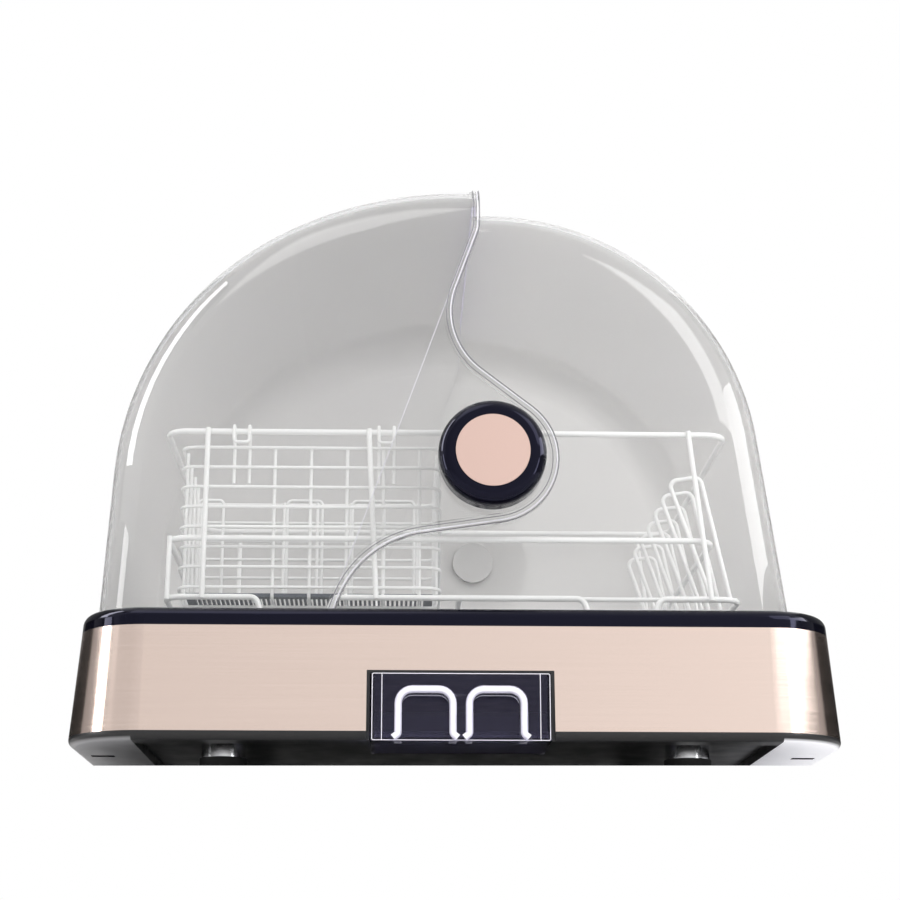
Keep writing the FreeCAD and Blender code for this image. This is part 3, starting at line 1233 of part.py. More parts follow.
def make_air_grille():
    """A plate on the basin's collar; its slots repeat along X."""
    body = doc.addObject("PartDesign::Body", "grille_blank")
    plate = sketch_on(body, "grille_outline", "XY_Plane", "air_x", "air_y", "basin_floor + air_collar")
    rounded_rectangle(plate, "(air_length + 2 * grille_lip)", "(air_width + 2 * grille_lip)", "(grille_lip)")
    pad(body, plate, "grille_thickness")
    first = "air_x - (grille_slots - 1) / 2 * grille_pitch"
    slot = sketch_on(body, "grille_slot_outline", "XY_Plane", first, "air_y", "basin_floor + air_collar")
    rounded_rectangle(slot, "(grille_slot)", "(air_width - 2 * grille_lip)", "(grille_slot / 4)")
    pocket = body.newObject("PartDesign::Pocket", "grille_slot_cut")
    pocket.Profile = slot
    pocket.Reversed = True
    drive(pocket, "Length", "grille_thickness")
    slot.Visibility = False
    row = body.newObject("PartDesign::LinearPattern", "grille_slot_row")
    row.Originals = [pocket]
    row.Direction = (slot, ["H_Axis"])
    drive(row, "Length", "(grille_slots - 1) * grille_pitch")
    drive(row, "Occurrences", "grille_slots")
    body.Tip = row
    return node(gather("grille_solid", [body]), "air_grille")


def make_fan_housing():
    wall_less = "housing_height - 2 * air_wall"
    drum = rod("housing_drum", "housing_radius", "fan_x", "fan_y", "floor_top", "housing_height")
    duct = box("housing_duct", "air_left - air_wall", "air_left + air_length + air_wall",
               "heater_y + heater_depth",
               "fan_y", "floor_top", "housing_top")
    drum_room = rod("housing_room", "housing_radius - air_wall", "fan_x", "fan_y", "floor_top + air_wall",
                    wall_less)
    duct_room = box("housing_duct_room", "air_left", "air_left + air_length", "0 - base_width", "fan_y",
                    "floor_top + air_wall", "housing_top - air_wall")
    intake = rod("housing_intake", "fan_radius - fan_blade_depth - fan_blade_thickness", "fan_x", "fan_y",
                 "0",
                 "floor_top + 2 * air_wall")
    return node(cut("housing_solid", union("housing_stock", drum, duct), drum_room, duct_room, intake),
                "fan_housing")


def make_impeller():
    """A back plate with a hub under it and a ring of blades that repeat about the shaft."""
    body = doc.addObject("PartDesign::Body", "impeller_blank")

    def disc(name, radius, level, height):
        sketch = sketch_on(body, name, "XY_Plane", "fan_x", "fan_y", level)
        circle = sketch.addGeometry(Part.Circle(Vector(), Vector(0, 0, 1), 10.0), False)
        constrain(sketch, "Coincident", circle, 3, -1, 1)
        constrain(sketch, "Radius", circle, name="rim", text=radius)
        return pad(body, sketch, height)
    disc("impeller_plate", "fan_radius", "fan_top", "fan_plate")
    disc("impeller_hub", "fan_hub_radius", "fan_top - fan_height / 2", "fan_height / 2 + fan_plate")
    blade = sketch_on(body, "impeller_blade", "XY_Plane", "fan_x", "fan_y", "fan_bottom")
    near, far = num("fan_radius") - num("fan_blade_depth"), num("fan_radius")
    half = num("fan_blade_thickness") / 2
    corners = [Vector(near, -half, 0), Vector(far - half, -half, 0), Vector(far - half, half, 0),
               Vector(near, half, 0)]
    lines = [blade.addGeometry(Part.LineSegment(start, end), False)
             for start, end in zip(corners, corners[1:] + corners[:1])]
    for index, line in enumerate(lines):
        constrain(blade, "Coincident", line, 2, lines[(index + 1) % 4], 1)
        constrain(blade, "Vertical" if index % 2 else "Horizontal", line)
    constrain(blade, "DistanceX", -1, 1, lines[0], 1, name="inner", text="fan_radius - fan_blade_depth")
    constrain(blade, "DistanceX", lines[0], 1, lines[0], 2, name="depth",
              text="fan_blade_depth - fan_blade_thickness / 2")
    constrain(blade, "DistanceY", lines[0], 1, -1, 1, name="half", text="fan_blade_thickness / 2")
    constrain(blade, "DistanceY", lines[1], 1, lines[1], 2, name="thickness", text="fan_blade_thickness")
    raised = pad(body, blade, "fan_height + fan_plate / 2")
    ring = body.newObject("PartDesign::PolarPattern", "impeller_blade_ring")
    ring.Originals = [raised]
    ring.Axis = (blade, ["N_Axis"])
    ring.Angle = 360
    drive(ring, "Occurrences", "fan_blades")
    body.Tip = ring
    bore = rod("impeller_bore", "shaft_radius", "fan_x", "fan_y", "0", "base_top")
    return node(cut("impeller_solid", body, bore), "fan_impeller")


def make_fan_motor():
    """The motor under the top of the blower's housing, and the shaft that turns in it."""
    bottom = "housing_top - air_wall - motor_height"
    can = rod("motor_can", "motor_radius", "fan_x", "fan_y", bottom, "motor_height")
    bore = rod("motor_bore", "shaft_radius + shaft_running", "fan_x", "fan_y", "0",
               "housing_top - 2 * air_wall")
    node(cut("motor_solid", can, bore), "fan_motor")
    foot = "fan_top - fan_height / 2"
    return node(rod("shaft_rod", "shaft_radius", "fan_x", "fan_y", foot,
                    "housing_top - 2 * air_wall - rest_gap - (%s)" % foot), "fan_shaft")


def make_heater():
    left, right = "air_left - air_wall", "air_left + air_length + air_wall"
    rear = "heater_y + heater_depth"
    duct = box("heater_duct", left, right, "air_front - air_wall", rear, "floor_top", "housing_top")
    chimney = box("heater_chimney", left, right, "air_front - air_wall", "air_front + air_width + air_wall",
                  "floor_top", "basin_under")
    room = box("heater_room", "air_left", "air_left + air_length", "air_front", rear, "floor_top + air_wall",
               "housing_top - air_wall")
    shaft = box("heater_chimney_room", "air_left", "air_left + air_length", "air_front",
                "air_front + air_width",
                "floor_top + air_wall", "base_top")
    node(cut("heater_housing_solid", union("heater_housing_stock", duct, chimney), room, shaft),
         "heater_housing")
    low, high = "floor_top + air_wall + heater_gap", "housing_top - air_wall - heater_gap"
    near, far = "air_left + heater_gap", "air_left + air_length - heater_gap"
    core = box("heater_core", near, far, "heater_y - heater_depth", "heater_y", low, high)
    run = "(air_length - 2 * heater_gap - 2 * heater_frame + heater_fin)"
    gaps = []
    for index in range(SIZES["heater_fins"][0] + 1):
        start = "%s + heater_frame + %d * %s / (heater_fins + 1)" % (near, index, run)
        end = "%s + %s / (heater_fins + 1) - heater_fin" % (start, run)
        gaps.append(box("heater_way_%d" % index, start, end, "heater_y - 2 * heater_depth", "0",
                        "%s + heater_frame" % low, "%s - heater_frame" % high))
    node(cut("heater_solid", core, *gaps), "ptc_heater")
    return node(rod("cutout_solid", "cutout_radius", "air_x", "heater_y - heater_depth / 2", "housing_top",
                    "cutout_height"), "thermal_cutout")


# ------------------------------------------------------------ lamp and electrics

def make_lamp():
    left = "lamp_x - lamp_length / 2"
    tube = rod("lamp_tube", "lamp_radius", left, "lamp_y", "lamp_level", "lamp_length", "X")
    room = rod("lamp_room", "lamp_radius - lamp_glass", left, "lamp_y", "lamp_level", "lamp_length", "X")
    node(cut("lamp_solid", tube, room), "uv_lamp")
    holders = []
    for side, word in ((-1, "left"), (1, "right")):
        inner = "lamp_x + (%d) * (lamp_length / 2 - holder_grip)" % side
        outer = "%s + (%d) * holder_length" % (inner, side)
        low, high = (outer, inner) if side < 0 else (inner, outer)
        block = box("holder_block_" + word, low, high, "lamp_y - holder_width / 2",
                    "lamp_y + holder_width / 2",
                    "basin_floor", "lamp_level + holder_width / 2")
        socket = rod("holder_socket_" + word, "lamp_radius + rest_gap", left + " - rest_gap", "lamp_y",
                     "lamp_level",
                     "lamp_length + 2 * rest_gap", "X")
        holders.append(cut("holder_" + word, block, socket))
    node(gather("holder_set", holders), "lamp_holders")
    return node(centred_box("ballast_solid", "ballast_x", "ballast_y", "ballast_length", "ballast_width",
                            "floor_top", "floor_top + ballast_height"), "lamp_ballast")


def make_board():
    seat = "floor_top + standoff_height"
    holes = [rod("board_hole_%d" % index, "board_screw_radius", x, y, "0", "base_top")
             for index, (x, y) in enumerate(board_holes(), start=1)]
    blank = centred_box("board_blank", "board_x", "board_y", "board_length", "board_width", seat,
                        seat + " + board_thickness")
    node(cut("board_solid", blank, *holes), "control_board")
    screws = []
    for index, (x, y) in enumerate(board_holes(), start=1):
        head = rod("board_head_%d" % index, "board_head_radius", x, y, seat + " + board_thickness",
                   "board_head_height")
        shank = rod("board_shank_%d" % index, "board_screw_radius", x, y, "floor_top + board_thickness",
                    "standoff_height")
        screws.append(union("board_screw_%d" % index, head, shank))
    node(gather("board_screw_set", screws), "board_screws")
    top = seat + " + board_thickness"
    parts = []
    for name, along, across, length, width, height in BOARD_BLOCKS:
        parts.append(centred_box(name, "board_x + (%g)" % along, "board_y + (%g)" % across, "%g" % length,
                                 "%g" % width, top, "%s + %g" % (top, height)))
    for index, (along, across, radius, height) in enumerate(BOARD_CANS, start=1):
        parts.append(rod("board_can_%d" % index, "%g" % radius, "board_x + (%g)" % along,
                         "board_y + (%g)" % across,
                         top, "%g" % height))
    return node(gather("board_part_set", parts), "board_components")


# What stands on the control board, from its middle: name, along X, along Y, length, width, height.
BOARD_BLOCKS = (
    ("board_relay_1", -26, 12, 18, 15, 15),
    ("board_relay_2", -26, -8, 18, 15, 15),
    ("board_transformer", 14, -8, 24, 20, 17),
    ("board_terminals", 4, 22, 36, 8, 9),
)
# Its capacitors: along X, along Y, radius, height.
BOARD_CANS = ((-6, 4, 5, 14), (-6, -14, 4, 11))


def make_inlet():
    left, right = "inlet_x - inlet_width / 2", "inlet_x + inlet_width / 2"
    low, high = "inlet_z - inlet_height / 2", "inlet_z + inlet_height / 2"
    body = box("inlet_body", left, right, "inlet_end - inlet_depth", "inlet_end", low, high)
    flange = box("inlet_plate", left + " - inlet_flange", right + " + inlet_flange",
                 "inlet_face - inlet_flange_thickness", "inlet_face", low, high)
    recess = box("inlet_recess_room", left + " + inlet_wall", right + " - inlet_wall",
                 "inlet_end - inlet_recess",
                 "base_width", low + " + inlet_wall", high + " - inlet_wall")
    holes = [rod("inlet_way_%d" % index, "inlet_screw_radius", x, "inlet_face - inlet_depth", "inlet_z",
                 "2 * inlet_depth", "Y") for index, x in enumerate(inlet_screw_places(), start=1)]
    pins = [rod("inlet_pin_%d" % (side + 2), "inlet_pin_radius", "inlet_x + (%d) * inlet_pin_pitch" % side,
                "inlet_end - inlet_recess - inlet_wall", "inlet_z + (%d) * inlet_pin_offset" % (1 - abs(side)),
                "inlet_wall + inlet_pin_length", "Y") for side in (-1, 0, 1)]
    shell = cut("inlet_shell", union("inlet_stock", body, flange), recess, *holes)
    node(cut("inlet_solid", shell, *[rod("inlet_pin_hole_%d" % (side + 2), "inlet_pin_radius",
                                         "inlet_x + (%d) * inlet_pin_pitch" % side,
                                         "inlet_end - inlet_recess - inlet_wall",
                                         "inlet_z + (%d) * inlet_pin_offset" % (1 - abs(side)),
                                         "inlet_wall + inlet_pin_length", "Y") for side in (-1, 0, 1)]),
         "mains_inlet")
    node(gather("inlet_pin_set", pins), "inlet_pins")
    screws = []
    for index, x in enumerate(inlet_screw_places(), start=1):
        seat = "inlet_face - inlet_flange_thickness"
        head = rod("inlet_head_%d" % index, "inlet_head_radius", x, seat + " - inlet_head_height", "inlet_z",
                   "inlet_head_height", "Y")
        shank = rod("inlet_shank_%d" % index, "inlet_screw_radius", x, seat, "inlet_z",
                    "block_depth - rest_gap", "Y")
        screws.append(union("inlet_screw_%d" % index, head, shank))
    return node(gather("inlet_screw_set", screws), "inlet_screws")


def make_button():
    def part_of(name, radius, near, far):
        return rod(name, radius, near, "button_y", "button_z", "(%s) - (%s)" % (far, near), "X")
    front = "button_face + bezel_proud"
    ring = part_of("bezel_ring", "bezel_radius - bezel_fit", "block_face", front)
    node(cut("bezel_solid", ring, part_of("bezel_bore", "button_radius + button_running", "0",
                                          "base_length")),
         "button_bezel")
    node(union("button_solid", part_of("button_stem", "button_radius", "button_rear", front),
               part_of("button_flange", "button_collar_radius", "button_rear",
                       "button_rear + button_collar")),
         "power_button")
    case = box("switch_case", "block_face - switch_depth", "block_face", "button_y - switch_size / 2",
               "button_y + switch_size / 2", "button_z - switch_size / 2", "button_z + switch_size / 2")
    well = part_of("switch_well", "button_collar_radius + button_running",
                   "button_rear - button_travel - rest_gap", "block_face")
    return node(cut("switch_solid", case, well), "button_switch")


# ------------------------------------------------------------ rack and basket

def rack_ring(left, right, level):
    half = num("rack_half_width")
    points = ring_points(-num(left), num(right), -half, half, num(level), num(level))
    return even_wire(points, num("rail_radius"), num("rack_corner"))


def base_ring():
    """The lower rail with two dips in front and two behind, which are the rack's feet."""
    half, level, foot_level = num("rack_half_width"), num("base_rail"), num("rack_foot_level")
    left, right = -num("base_rail_left"), num("base_rail_right")
    middle = num("cross_wire_x") + num("rack_foot_bottom")
    top, bottom = num("rack_foot_top") / 2, num("rack_foot_bottom") / 2

    def dip(centre, y, way):
        return [Vector(centre - way * top, y, level), Vector(centre - way * bottom, y, foot_level),
                Vector(centre + way * bottom, y, foot_level), Vector(centre + way * top, y, level)]
    feet = (-num("rack_foot_left"), num("rack_foot_right"))
    points = [Vector(middle, -half, level), *dip(feet[1], -half, 1), Vector(right, -half, level),
              Vector(right, half, level), *dip(feet[1], half, -1), *dip(feet[0], half, -1),
              Vector(left, half, level), Vector(left, -half, level), *dip(feet[0], -half, 1),
              Vector(middle, -half, level)]
    bends = [num("rack_corner") if abs(point.x) > num("rack_foot_right") + num("rack_foot_top")
             else num("rack_foot_bend") for point in points[1:-1]]
    return bent_wire(points, num("rail_radius"), bends)


def rack_posts(side):
    """Three posts against the outside of the rails and a thin leg at the left corner; side is -1 in front."""
    rail, gap, over = num("rail_radius"), num("weld_gap"), num("wire_over")
    y = side * (num("rack_half_width") + rail + num("post_radius") + gap)
    low, high, middle = num("base_rail") - over, num("top_rail") + over, num("mid_rail") + over
    wires = []
    for foot, head in ((-num("left_post_foot"), -num("left_post_head")),
                       (-num("middle_post_foot"), -num("middle_post_head")),
                       (num("right_post_foot"), num("right_post_head"))):
        wires.append(straight_wire(Vector(foot, y, low), Vector(head, y, high), num("post_radius")))
    mitre = math.cos(math.pi / 4 / num("bend_steps"))
    outwards = (rail / mitre + num("thin_wire") + gap) * math.sqrt(0.5)
    inwards = num("rack_corner") * (1 - math.sqrt(0.5)) - outwards
    leg_y = side * (num("rack_half_width") - inwards)
    wires.append(straight_wire(Vector(inwards - num("base_rail_left"), leg_y, low),
                               Vector(inwards - num("mid_rail_left"), leg_y, middle), num("thin_wire")))
    return wires


def floor_rows():
    """Where the floor wires and the plate loops stand, along Y."""
    count = SIZES["floor_wires"][0]
    return [(index - (count - 1) / 2) * num("floor_wire_pitch") for index in range(count)]


def rack_floor():
    """The wires across the rack, on its lower rail; those beside the basket end on the cross wire."""
    level, cross, height = num("floor_wire_level"), num("cross_wire_x"), num("base_rail")
    reach, over = num("rack_half_width") - num("rail_radius") - num("weld_gap"), num("wire_over")
    wires = [straight_wire(Vector(cross, -reach, height), Vector(cross, reach, height), num("rail_radius"))]
    for y in floor_rows():
        left = cross if y < num("basket_back") else -num("base_rail_left")
        start, end = Vector(left - over, y, level), Vector(num("base_rail_right") + over, y, level)
        wires.append(straight_wire(start, end, num("thin_wire")))
    return wires


def plate_loops():
    """A leaning loop on each floor wire."""
    level, wire = num("floor_wire_level"), num("loop_wire")
    high, rise = level + num("loop_height"), num("loop_rise")

    def foot(x, head):
        lean = abs(head.x - x) / math.hypot(head.x - x, head.z - level)
        return Vector(x, head.y, level + num("thin_wire") + wire * lean + num("weld_gap"))
    loops = []
    for y in floor_rows():
        inner, outer = Vector(num("loop_head"), y, high), Vector(num("loop_outer_head"), y, high + rise)
        points = [foot(num("loop_foot"), inner), inner, outer, foot(num("loop_outer_foot"), outer)]
        loops.append(even_wire(points, wire, num("loop_bend")))
    return loops


def wire_node(name, wires):
    """One node of separate wires, which meet where the real ones are welded."""
    parts = [drawn("%s_%d" % (name, index), wire) for index, wire in enumerate(wires, start=1)]
    return node(gather(name + "_set", parts), name)


def make_rack():
    wire_node("rack_rails", [rack_ring("top_rail_left", "top_rail_right", "top_rail"),
                             rack_ring("mid_rail_left", "mid_rail_right", "mid_rail"), base_ring()])
    wire_node("rack_posts", rack_posts(-1) + rack_posts(1))
    wire_node("rack_floor_wires", rack_floor())
    wire_node("plate_loops", plate_loops())
    sleeves = []
    for index, (x, side) in enumerate((("-rack_foot_left", -1), ("rack_foot_right", -1),
                                       ("rack_foot_right", 1), ("-rack_foot_left", 1)), start=1):
        place = ("%s - sleeve_length / 2" % x, "(%d) * rack_half_width" % side, "rack_foot_level")
        outer = rod("sleeve_stock_%d" % index, "sleeve_radius", *place, "sleeve_length", "X")
        inner = rod("sleeve_bore_%d" % index, "rail_radius + sleeve_gap", *place, "sleeve_length", "X")
        sleeves.append(cut("sleeve_%d" % index, outer, inner))
    return node(gather("sleeve_set", sleeves), "rack_sleeves")


def basket_level(y):
    """How much lower the basket is at y than at its front."""
    front, back = num("basket_front"), num("basket_back")
    return num("basket_fall") * (y - front) / (back - front)


def basket_rings():
    left, right = -num("basket_left"), -num("basket_right")
    front, back = num("basket_front"), num("basket_back")
    rings = []
    for index in range(SIZES["basket_rings"][0]):
        level = num("basket_top") - index * num("basket_pitch")
        points = ring_points(left, right, front, back, level, level - num("basket_fall"))
        rings.append(even_wire(points, num("basket_wire"), num("basket_corner")))
    return rings


def wire_step():
    """From the middle of one basket wire to the middle of another that is welded to it."""
    return 2 * num("basket_wire") + num("weld_gap")


def basket_ribs():
    """The U-shaped wires inside the rings: those from front to rear, and under them those across."""
    left, right = -num("basket_left") + wire_step(), -num("basket_right") - wire_step()
    front, back = num("basket_front") + wire_step(), num("basket_back") - wire_step()
    wire, base, fall = num("basket_wire"), num("basket_base"), num("basket_fall")
    top, bend = num("basket_top") + wire, num("basket_bend")
    x = -num("basket_right") - num("basket_rib_first")
    first = even_wire([Vector(x, front, top), Vector(x, front, base), Vector(x, back, base - fall),
                       Vector(x, back, top - fall)], wire, bend)
    ribs = [first.translated(Vector(-index * num("basket_rib_pitch"), 0, 0))
            for index in range(SIZES["basket_ribs"][0])]
    count = SIZES["basket_cross_ribs"][0]
    for index in range(count):
        y = num("divider_y") + (index - (count - 1) / 2) * num("basket_cross_pitch")
        low = base - fall * (y - front) / (back - front) - wire_step()
        high = top - basket_level(y)
        ribs.append(even_wire([Vector(left, y, high), Vector(left, y, low), Vector(right, y, low),
                               Vector(right, y, high)], wire, bend))
    return ribs


def hook(centre):
    """A wire over the upper rail: two legs behind it, joined by a tongue in front."""
    reach = num("rail_radius") + num("hook_gap") + num("basket_wire")
    rail, half = num("top_rail"), num("hook_width") / 2
    front = -num("rack_half_width") - reach
    back = num("basket_front") + wire_step()
    left, right = centre - half, centre + half
    points = [Vector(left, back, rail - num("hook_leg")), Vector(left, back, rail + reach),
              Vector(left, front, rail + reach), Vector(left, front, rail - num("hook_tongue")),
              Vector(right, front, rail - num("hook_tongue")), Vector(right, front, rail + reach),
              Vector(right, back, rail + reach), Vector(right, back, rail - num("hook_leg"))]
    return even_wire(points, num("basket_wire"), reach - num("rail_radius") / 2)


# The basket's upright loops: left and right leg, from the middle of the base.
DIVIDERS = ((-175, -158), (-114, -90), (-69.3, -27))


def dividers():
    y = num("divider_plane")
    low = num("basket_base") - basket_level(y) - wire_step()
    high = low + num("divider_height")
    return [even_wire([Vector(left, y, low), Vector(left, y, high), Vector(right, y, high),
                       Vector(right, y, low)], num("basket_wire"), num("basket_wire") * 3)
            for left, right in DIVIDERS]


def make_basket():
    wire_node("basket_rings", basket_rings())
    wire_node("basket_ribs", basket_ribs())
    wire_node("basket_hooks", [hook(-num("hook_left")), hook(-num("hook_right"))])
    wire_node("basket_dividers", dividers())
    inside = num("mat_gap") + wire_step()
    left, right = -num("basket_left") + inside, -num("basket_right") - inside
    front, back = num("basket_front") + inside, num("basket_back") - inside
    lift, depth = num("basket_base") + num("basket_wire") + num("rest_gap"), num("mat_thickness")
    outline = [Vector(left, y, lift + rise - basket_level(y)) for y, rise in
               ((front, 0), (back, 0), (back, depth), (front, depth), (front, 0))]
    plate = Part.Face(Part.makePolygon(outline)).extrude(Vector(right - left, 0, 0))
    count, border = SIZES["mat_slots"][0], num("mat_border")
    pitch = (right - left - 2 * border) / count
    tall = num("base_top")
    slot, low = num("mat_slot"), lift - tall / 2
    tools = [Part.makeBox(slot, back - front - 2 * border, tall,
                          Vector(left + border + (index + 0.5) * pitch - slot / 2, front + border, low))
             for index in range(count)]
    hole = num("basket_wire") + num("mat_hole_gap")
    tools += [Part.makeCylinder(hole, tall, Vector(x, num("divider_plane"), low))
              for pair in DIVIDERS for x in pair]
    return node(gather("mat_solid", [drawn("mat_plate", plate.cut(tools))]), "basket_mat")


# ------------------------------------------------------------ all the sub-parts

fill_sheets()
for make in (make_tub, make_band, make_rim, make_basin, make_feet, make_casing_screws, make_bay, make_drawer,
             make_drain, make_lid, make_fixed_shell, make_shell_screws, make_gasket, make_crown_seal,
             make_lid_magnet, make_reed_switch, make_air_grille, make_fan_housing, make_impeller,
             make_fan_motor, make_heater, make_lamp, make_board, make_inlet, make_button, make_rack,
             make_basket):
    make()
for word, side in SIDES:
    make_pivot(word, side)
doc.recompute()

for obj in doc.Objects:
    if "Invalid" in obj.State or "Error" in obj.State:
        raise RuntimeError("%s did not compute: %s" % (obj.Name, obj.State))
os.makedirs("parts", exist_ok=True)
for obj in nodes:
    if obj.Shape.isNull() or not obj.Shape.isValid() or not obj.Shape.Solids:
        raise RuntimeError("%s has no valid shape" % obj.Label)
    obj.Shape.exportStep("parts/%s.step" % obj.Label)
    FreeCAD.Console.PrintMessage("%s: %d\n" % (obj.Label, len(obj.Shape.Solids)))
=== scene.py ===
"""Looks of a table-top dish sterilizer cabinet.

A clear two-part dome swings on gloss caps over a navy basin rim, a brushed rose-gold band and a clear drip
drawer. Inside stand a white coated rack and a cutlery basket. Every piece is in metres, in the frame of the
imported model, and rides on one of its bodies.
"""

from __future__ import annotations

import logging
import math
from dataclasses import dataclass, field
from enum import Enum

import bmesh
import bpy
from mathutils import Matrix, Vector


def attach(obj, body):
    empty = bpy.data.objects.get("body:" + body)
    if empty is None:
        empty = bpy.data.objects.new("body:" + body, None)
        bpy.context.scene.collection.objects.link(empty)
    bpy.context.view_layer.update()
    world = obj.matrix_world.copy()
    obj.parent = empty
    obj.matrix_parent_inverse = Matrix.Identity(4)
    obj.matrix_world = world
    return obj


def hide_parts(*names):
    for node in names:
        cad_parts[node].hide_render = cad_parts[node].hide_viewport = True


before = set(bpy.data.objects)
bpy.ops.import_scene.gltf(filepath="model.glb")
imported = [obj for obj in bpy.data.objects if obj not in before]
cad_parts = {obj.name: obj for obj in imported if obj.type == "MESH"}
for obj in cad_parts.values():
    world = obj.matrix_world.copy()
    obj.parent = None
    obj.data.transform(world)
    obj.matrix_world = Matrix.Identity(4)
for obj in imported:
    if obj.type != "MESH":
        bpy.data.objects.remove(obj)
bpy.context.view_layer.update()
LOG = logging.getLogger("sterilizer")

MM = 0.001
SHIFT_Y = 3.5  # the casing's middle lies this far behind the frame's middle, mm
Polyline = list[tuple[float, float, float, float]]  # x, y, z and bend radius of each corner, mm


def linear(code: str) -> tuple[float, float, float, float]:
    """Turns an sRGB hex code into a linear colour.

    Args:
        code: six hex digits after a hash sign.

    Returns:
        Red, green, blue and an alpha of 1.
    """
    parts = [int(code[place : place + 2], 16) / 255 for place in (1, 3, 5)]
    return (*(part / 12.92 if part <= 0.04045 else ((part + 0.055) / 1.055) ** 2.4 for part in parts), 1.0)


def add_node(tree: bpy.types.NodeTree, kind: str, inputs: dict[str | int, object] | None = None,
             **settings: object) -> bpy.types.Node:
    """Adds one node to a tree.

    Args:
        tree: the tree it goes into.
        kind: the node's type name.
        inputs: for each input, by name or number, a value or the socket that drives it.
        settings: attributes of the node.

    Returns:
        The new node.
    """
    node = tree.nodes.new(kind)
    for name, value in settings.items():
        setattr(node, name, value)
    for name, value in (inputs or {}).items():
        if isinstance(value, bpy.types.NodeSocket):
            tree.links.new(value, node.inputs[name])
        else:
            node.inputs[name].default_value = value
    return node


def blank_material(name: str) -> bpy.types.Material:
    """Makes a material with an empty tree.

    Args:
        name: what the material is and how its surface was made.

    Returns:
        The material.
    """
    material = bpy.data.materials.new(name)
    material.use_nodes = True
    material.node_tree.nodes.clear()
    return material


def in_scene(name: str, data: bpy.types.ID) -> bpy.types.Object:
    """Makes an object and links it to the scene.

    Args:
        name: of the object.
        data: its mesh, lamp or camera.

    Returns:
        The object.
    """
    thing = bpy.data.objects.new(name, data)
    bpy.context.scene.collection.objects.link(thing)
    return thing


# ------------------------------------------------------------ finishes

DRIFT = 22  # a slow drift of colour and gloss is this many grains long
GLOSS_SPREAD = 0.2  # how far the roughness strays to each side of its mean, as a share
ACROSS_STREAKS = 0.25  # quarter turn that stretches a highlight across the streaks


class Brushing(Enum):
    """How a metal was finished, as the length of a streak along x, y and z in grains."""

    EVEN = (1.0, 1.0, 1.0)
    LEVEL = (160.0, 160.0, 0.9)


@dataclass(frozen=True)
class Finish:
    """A plain moulded surface, the start of every finish.

    Args:
        name: what the material is and how its surface was made.
        colour: its colour, as sRGB hex.
        roughness: mean roughness.
        grain: size of the surface's texture in mm.
        depth: height of that texture in mm.
        shade: how much the colour varies, as a share.
        ior: index of refraction.
        reflection: colour of its straight reflections, as sRGB hex.
        glow: strength of a painted glow, light it gives off though it is no lamp.
    """

    name: str
    colour: str
    roughness: float
    grain: float = 1.2
    depth: float = 0.01
    shade: float = 0.06
    ior: float = 1.5
    reflection: str = "#FFFFFF"
    glow: float = 0.0

    def material(self) -> bpy.types.Material:
        """Builds the material the first time it is asked for.

        Returns:
            The material.
        """
        known = bpy.data.materials.get(self.name)
        if known:
            return known
        material = blank_material(self.name)
        tree = material.node_tree
        # the emission is the painted glow of the finishes that set one
        shader = add_node(tree, "ShaderNodeBsdfPrincipled",
                          {"IOR": self.ior, "Specular Tint": linear(self.reflection),
                           "Emission Color": linear(self.colour), "Emission Strength": self.glow})
        output = add_node(tree, "ShaderNodeOutputMaterial", {"Surface": shader.outputs[0]})
        self.dress(tree, shader, output)
        return material

    def dress(self, tree: bpy.types.NodeTree, shader: bpy.types.Node, output: bpy.types.Node) -> None:
        """Adds the surface's pattern: fine grain, and a slow drift of colour and gloss as moulding leaves it.

        Args:
            tree: the material's tree.
            shader: its Principled shader.
            output: its output.
        """
        grain = self.speckle(tree, (self.grain,) * 3)
        drift = self.speckle(tree, (self.grain * DRIFT,) * 3)
        self.tint(tree, shader, drift)
        self.gloss(tree, shader, drift)
        self.relief(tree, shader, grain)

    def speckle(self, tree: bpy.types.NodeTree, size: tuple[float, float, float]) -> bpy.types.NodeSocket:
        """Makes a noise that stays on the piece.

        Args:
            tree: the material's tree.
            size: length of a speck along x, y and z in mm.

        Returns:
            The noise's value, about 0.5 in the mean.
        """
        place = add_node(tree, "ShaderNodeTexCoord").outputs["Object"]
        scale = tuple(1 / (length * MM) for length in size)
        mapped = add_node(tree, "ShaderNodeMapping", {"Vector": place, "Scale": scale})
        noise = add_node(tree, "ShaderNodeTexNoise",
                         {"Vector": mapped.outputs[0], "Scale": 1.0, "Detail": 3.0, "Roughness": 0.55})
        return noise.outputs[0]

    def tint(self, tree: bpy.types.NodeTree, shader: bpy.types.Node, value: bpy.types.NodeSocket) -> None:
        """Drives the base colour by a pattern, from a little darker to the full colour.

        Args:
            tree: the material's tree.
            shader: its Principled shader.
            value: the pattern, from 0 to 1.
        """
        full = linear(self.colour)
        low = (*(part * (1 - self.shade) for part in full[:3]), 1.0)
        mix = add_node(tree, "ShaderNodeMix", {0: value, 6: low, 7: full}, data_type="RGBA")
        tree.links.new(mix.outputs[2], shader.inputs["Base Color"])

    def gloss(self, tree: bpy.types.NodeTree, shader: bpy.types.Node, value: bpy.types.NodeSocket) -> None:
        """Drives the roughness by a pattern.

        Args:
            tree: the material's tree.
            shader: its Principled shader.
            value: the pattern, mostly between a quarter and three quarters.
        """
        low, high = self.roughness * (1 - GLOSS_SPREAD), self.roughness * (1 + GLOSS_SPREAD)
        spread = add_node(tree, "ShaderNodeMapRange", {0: value, 1: 0.25, 2: 0.75, 3: low, 4: high})
        tree.links.new(spread.outputs[0], shader.inputs["Roughness"])

    def relief(self, tree: bpy.types.NodeTree, shader: bpy.types.Node, value: bpy.types.NodeSocket) -> None:
        """Raises the surface by a pattern."""
        bump = add_node(tree, "ShaderNodeBump",
                        {"Height": value, "Strength": 1.0, "Distance": self.depth * MM})
        tree.links.new(bump.outputs[0], shader.inputs["Normal"])


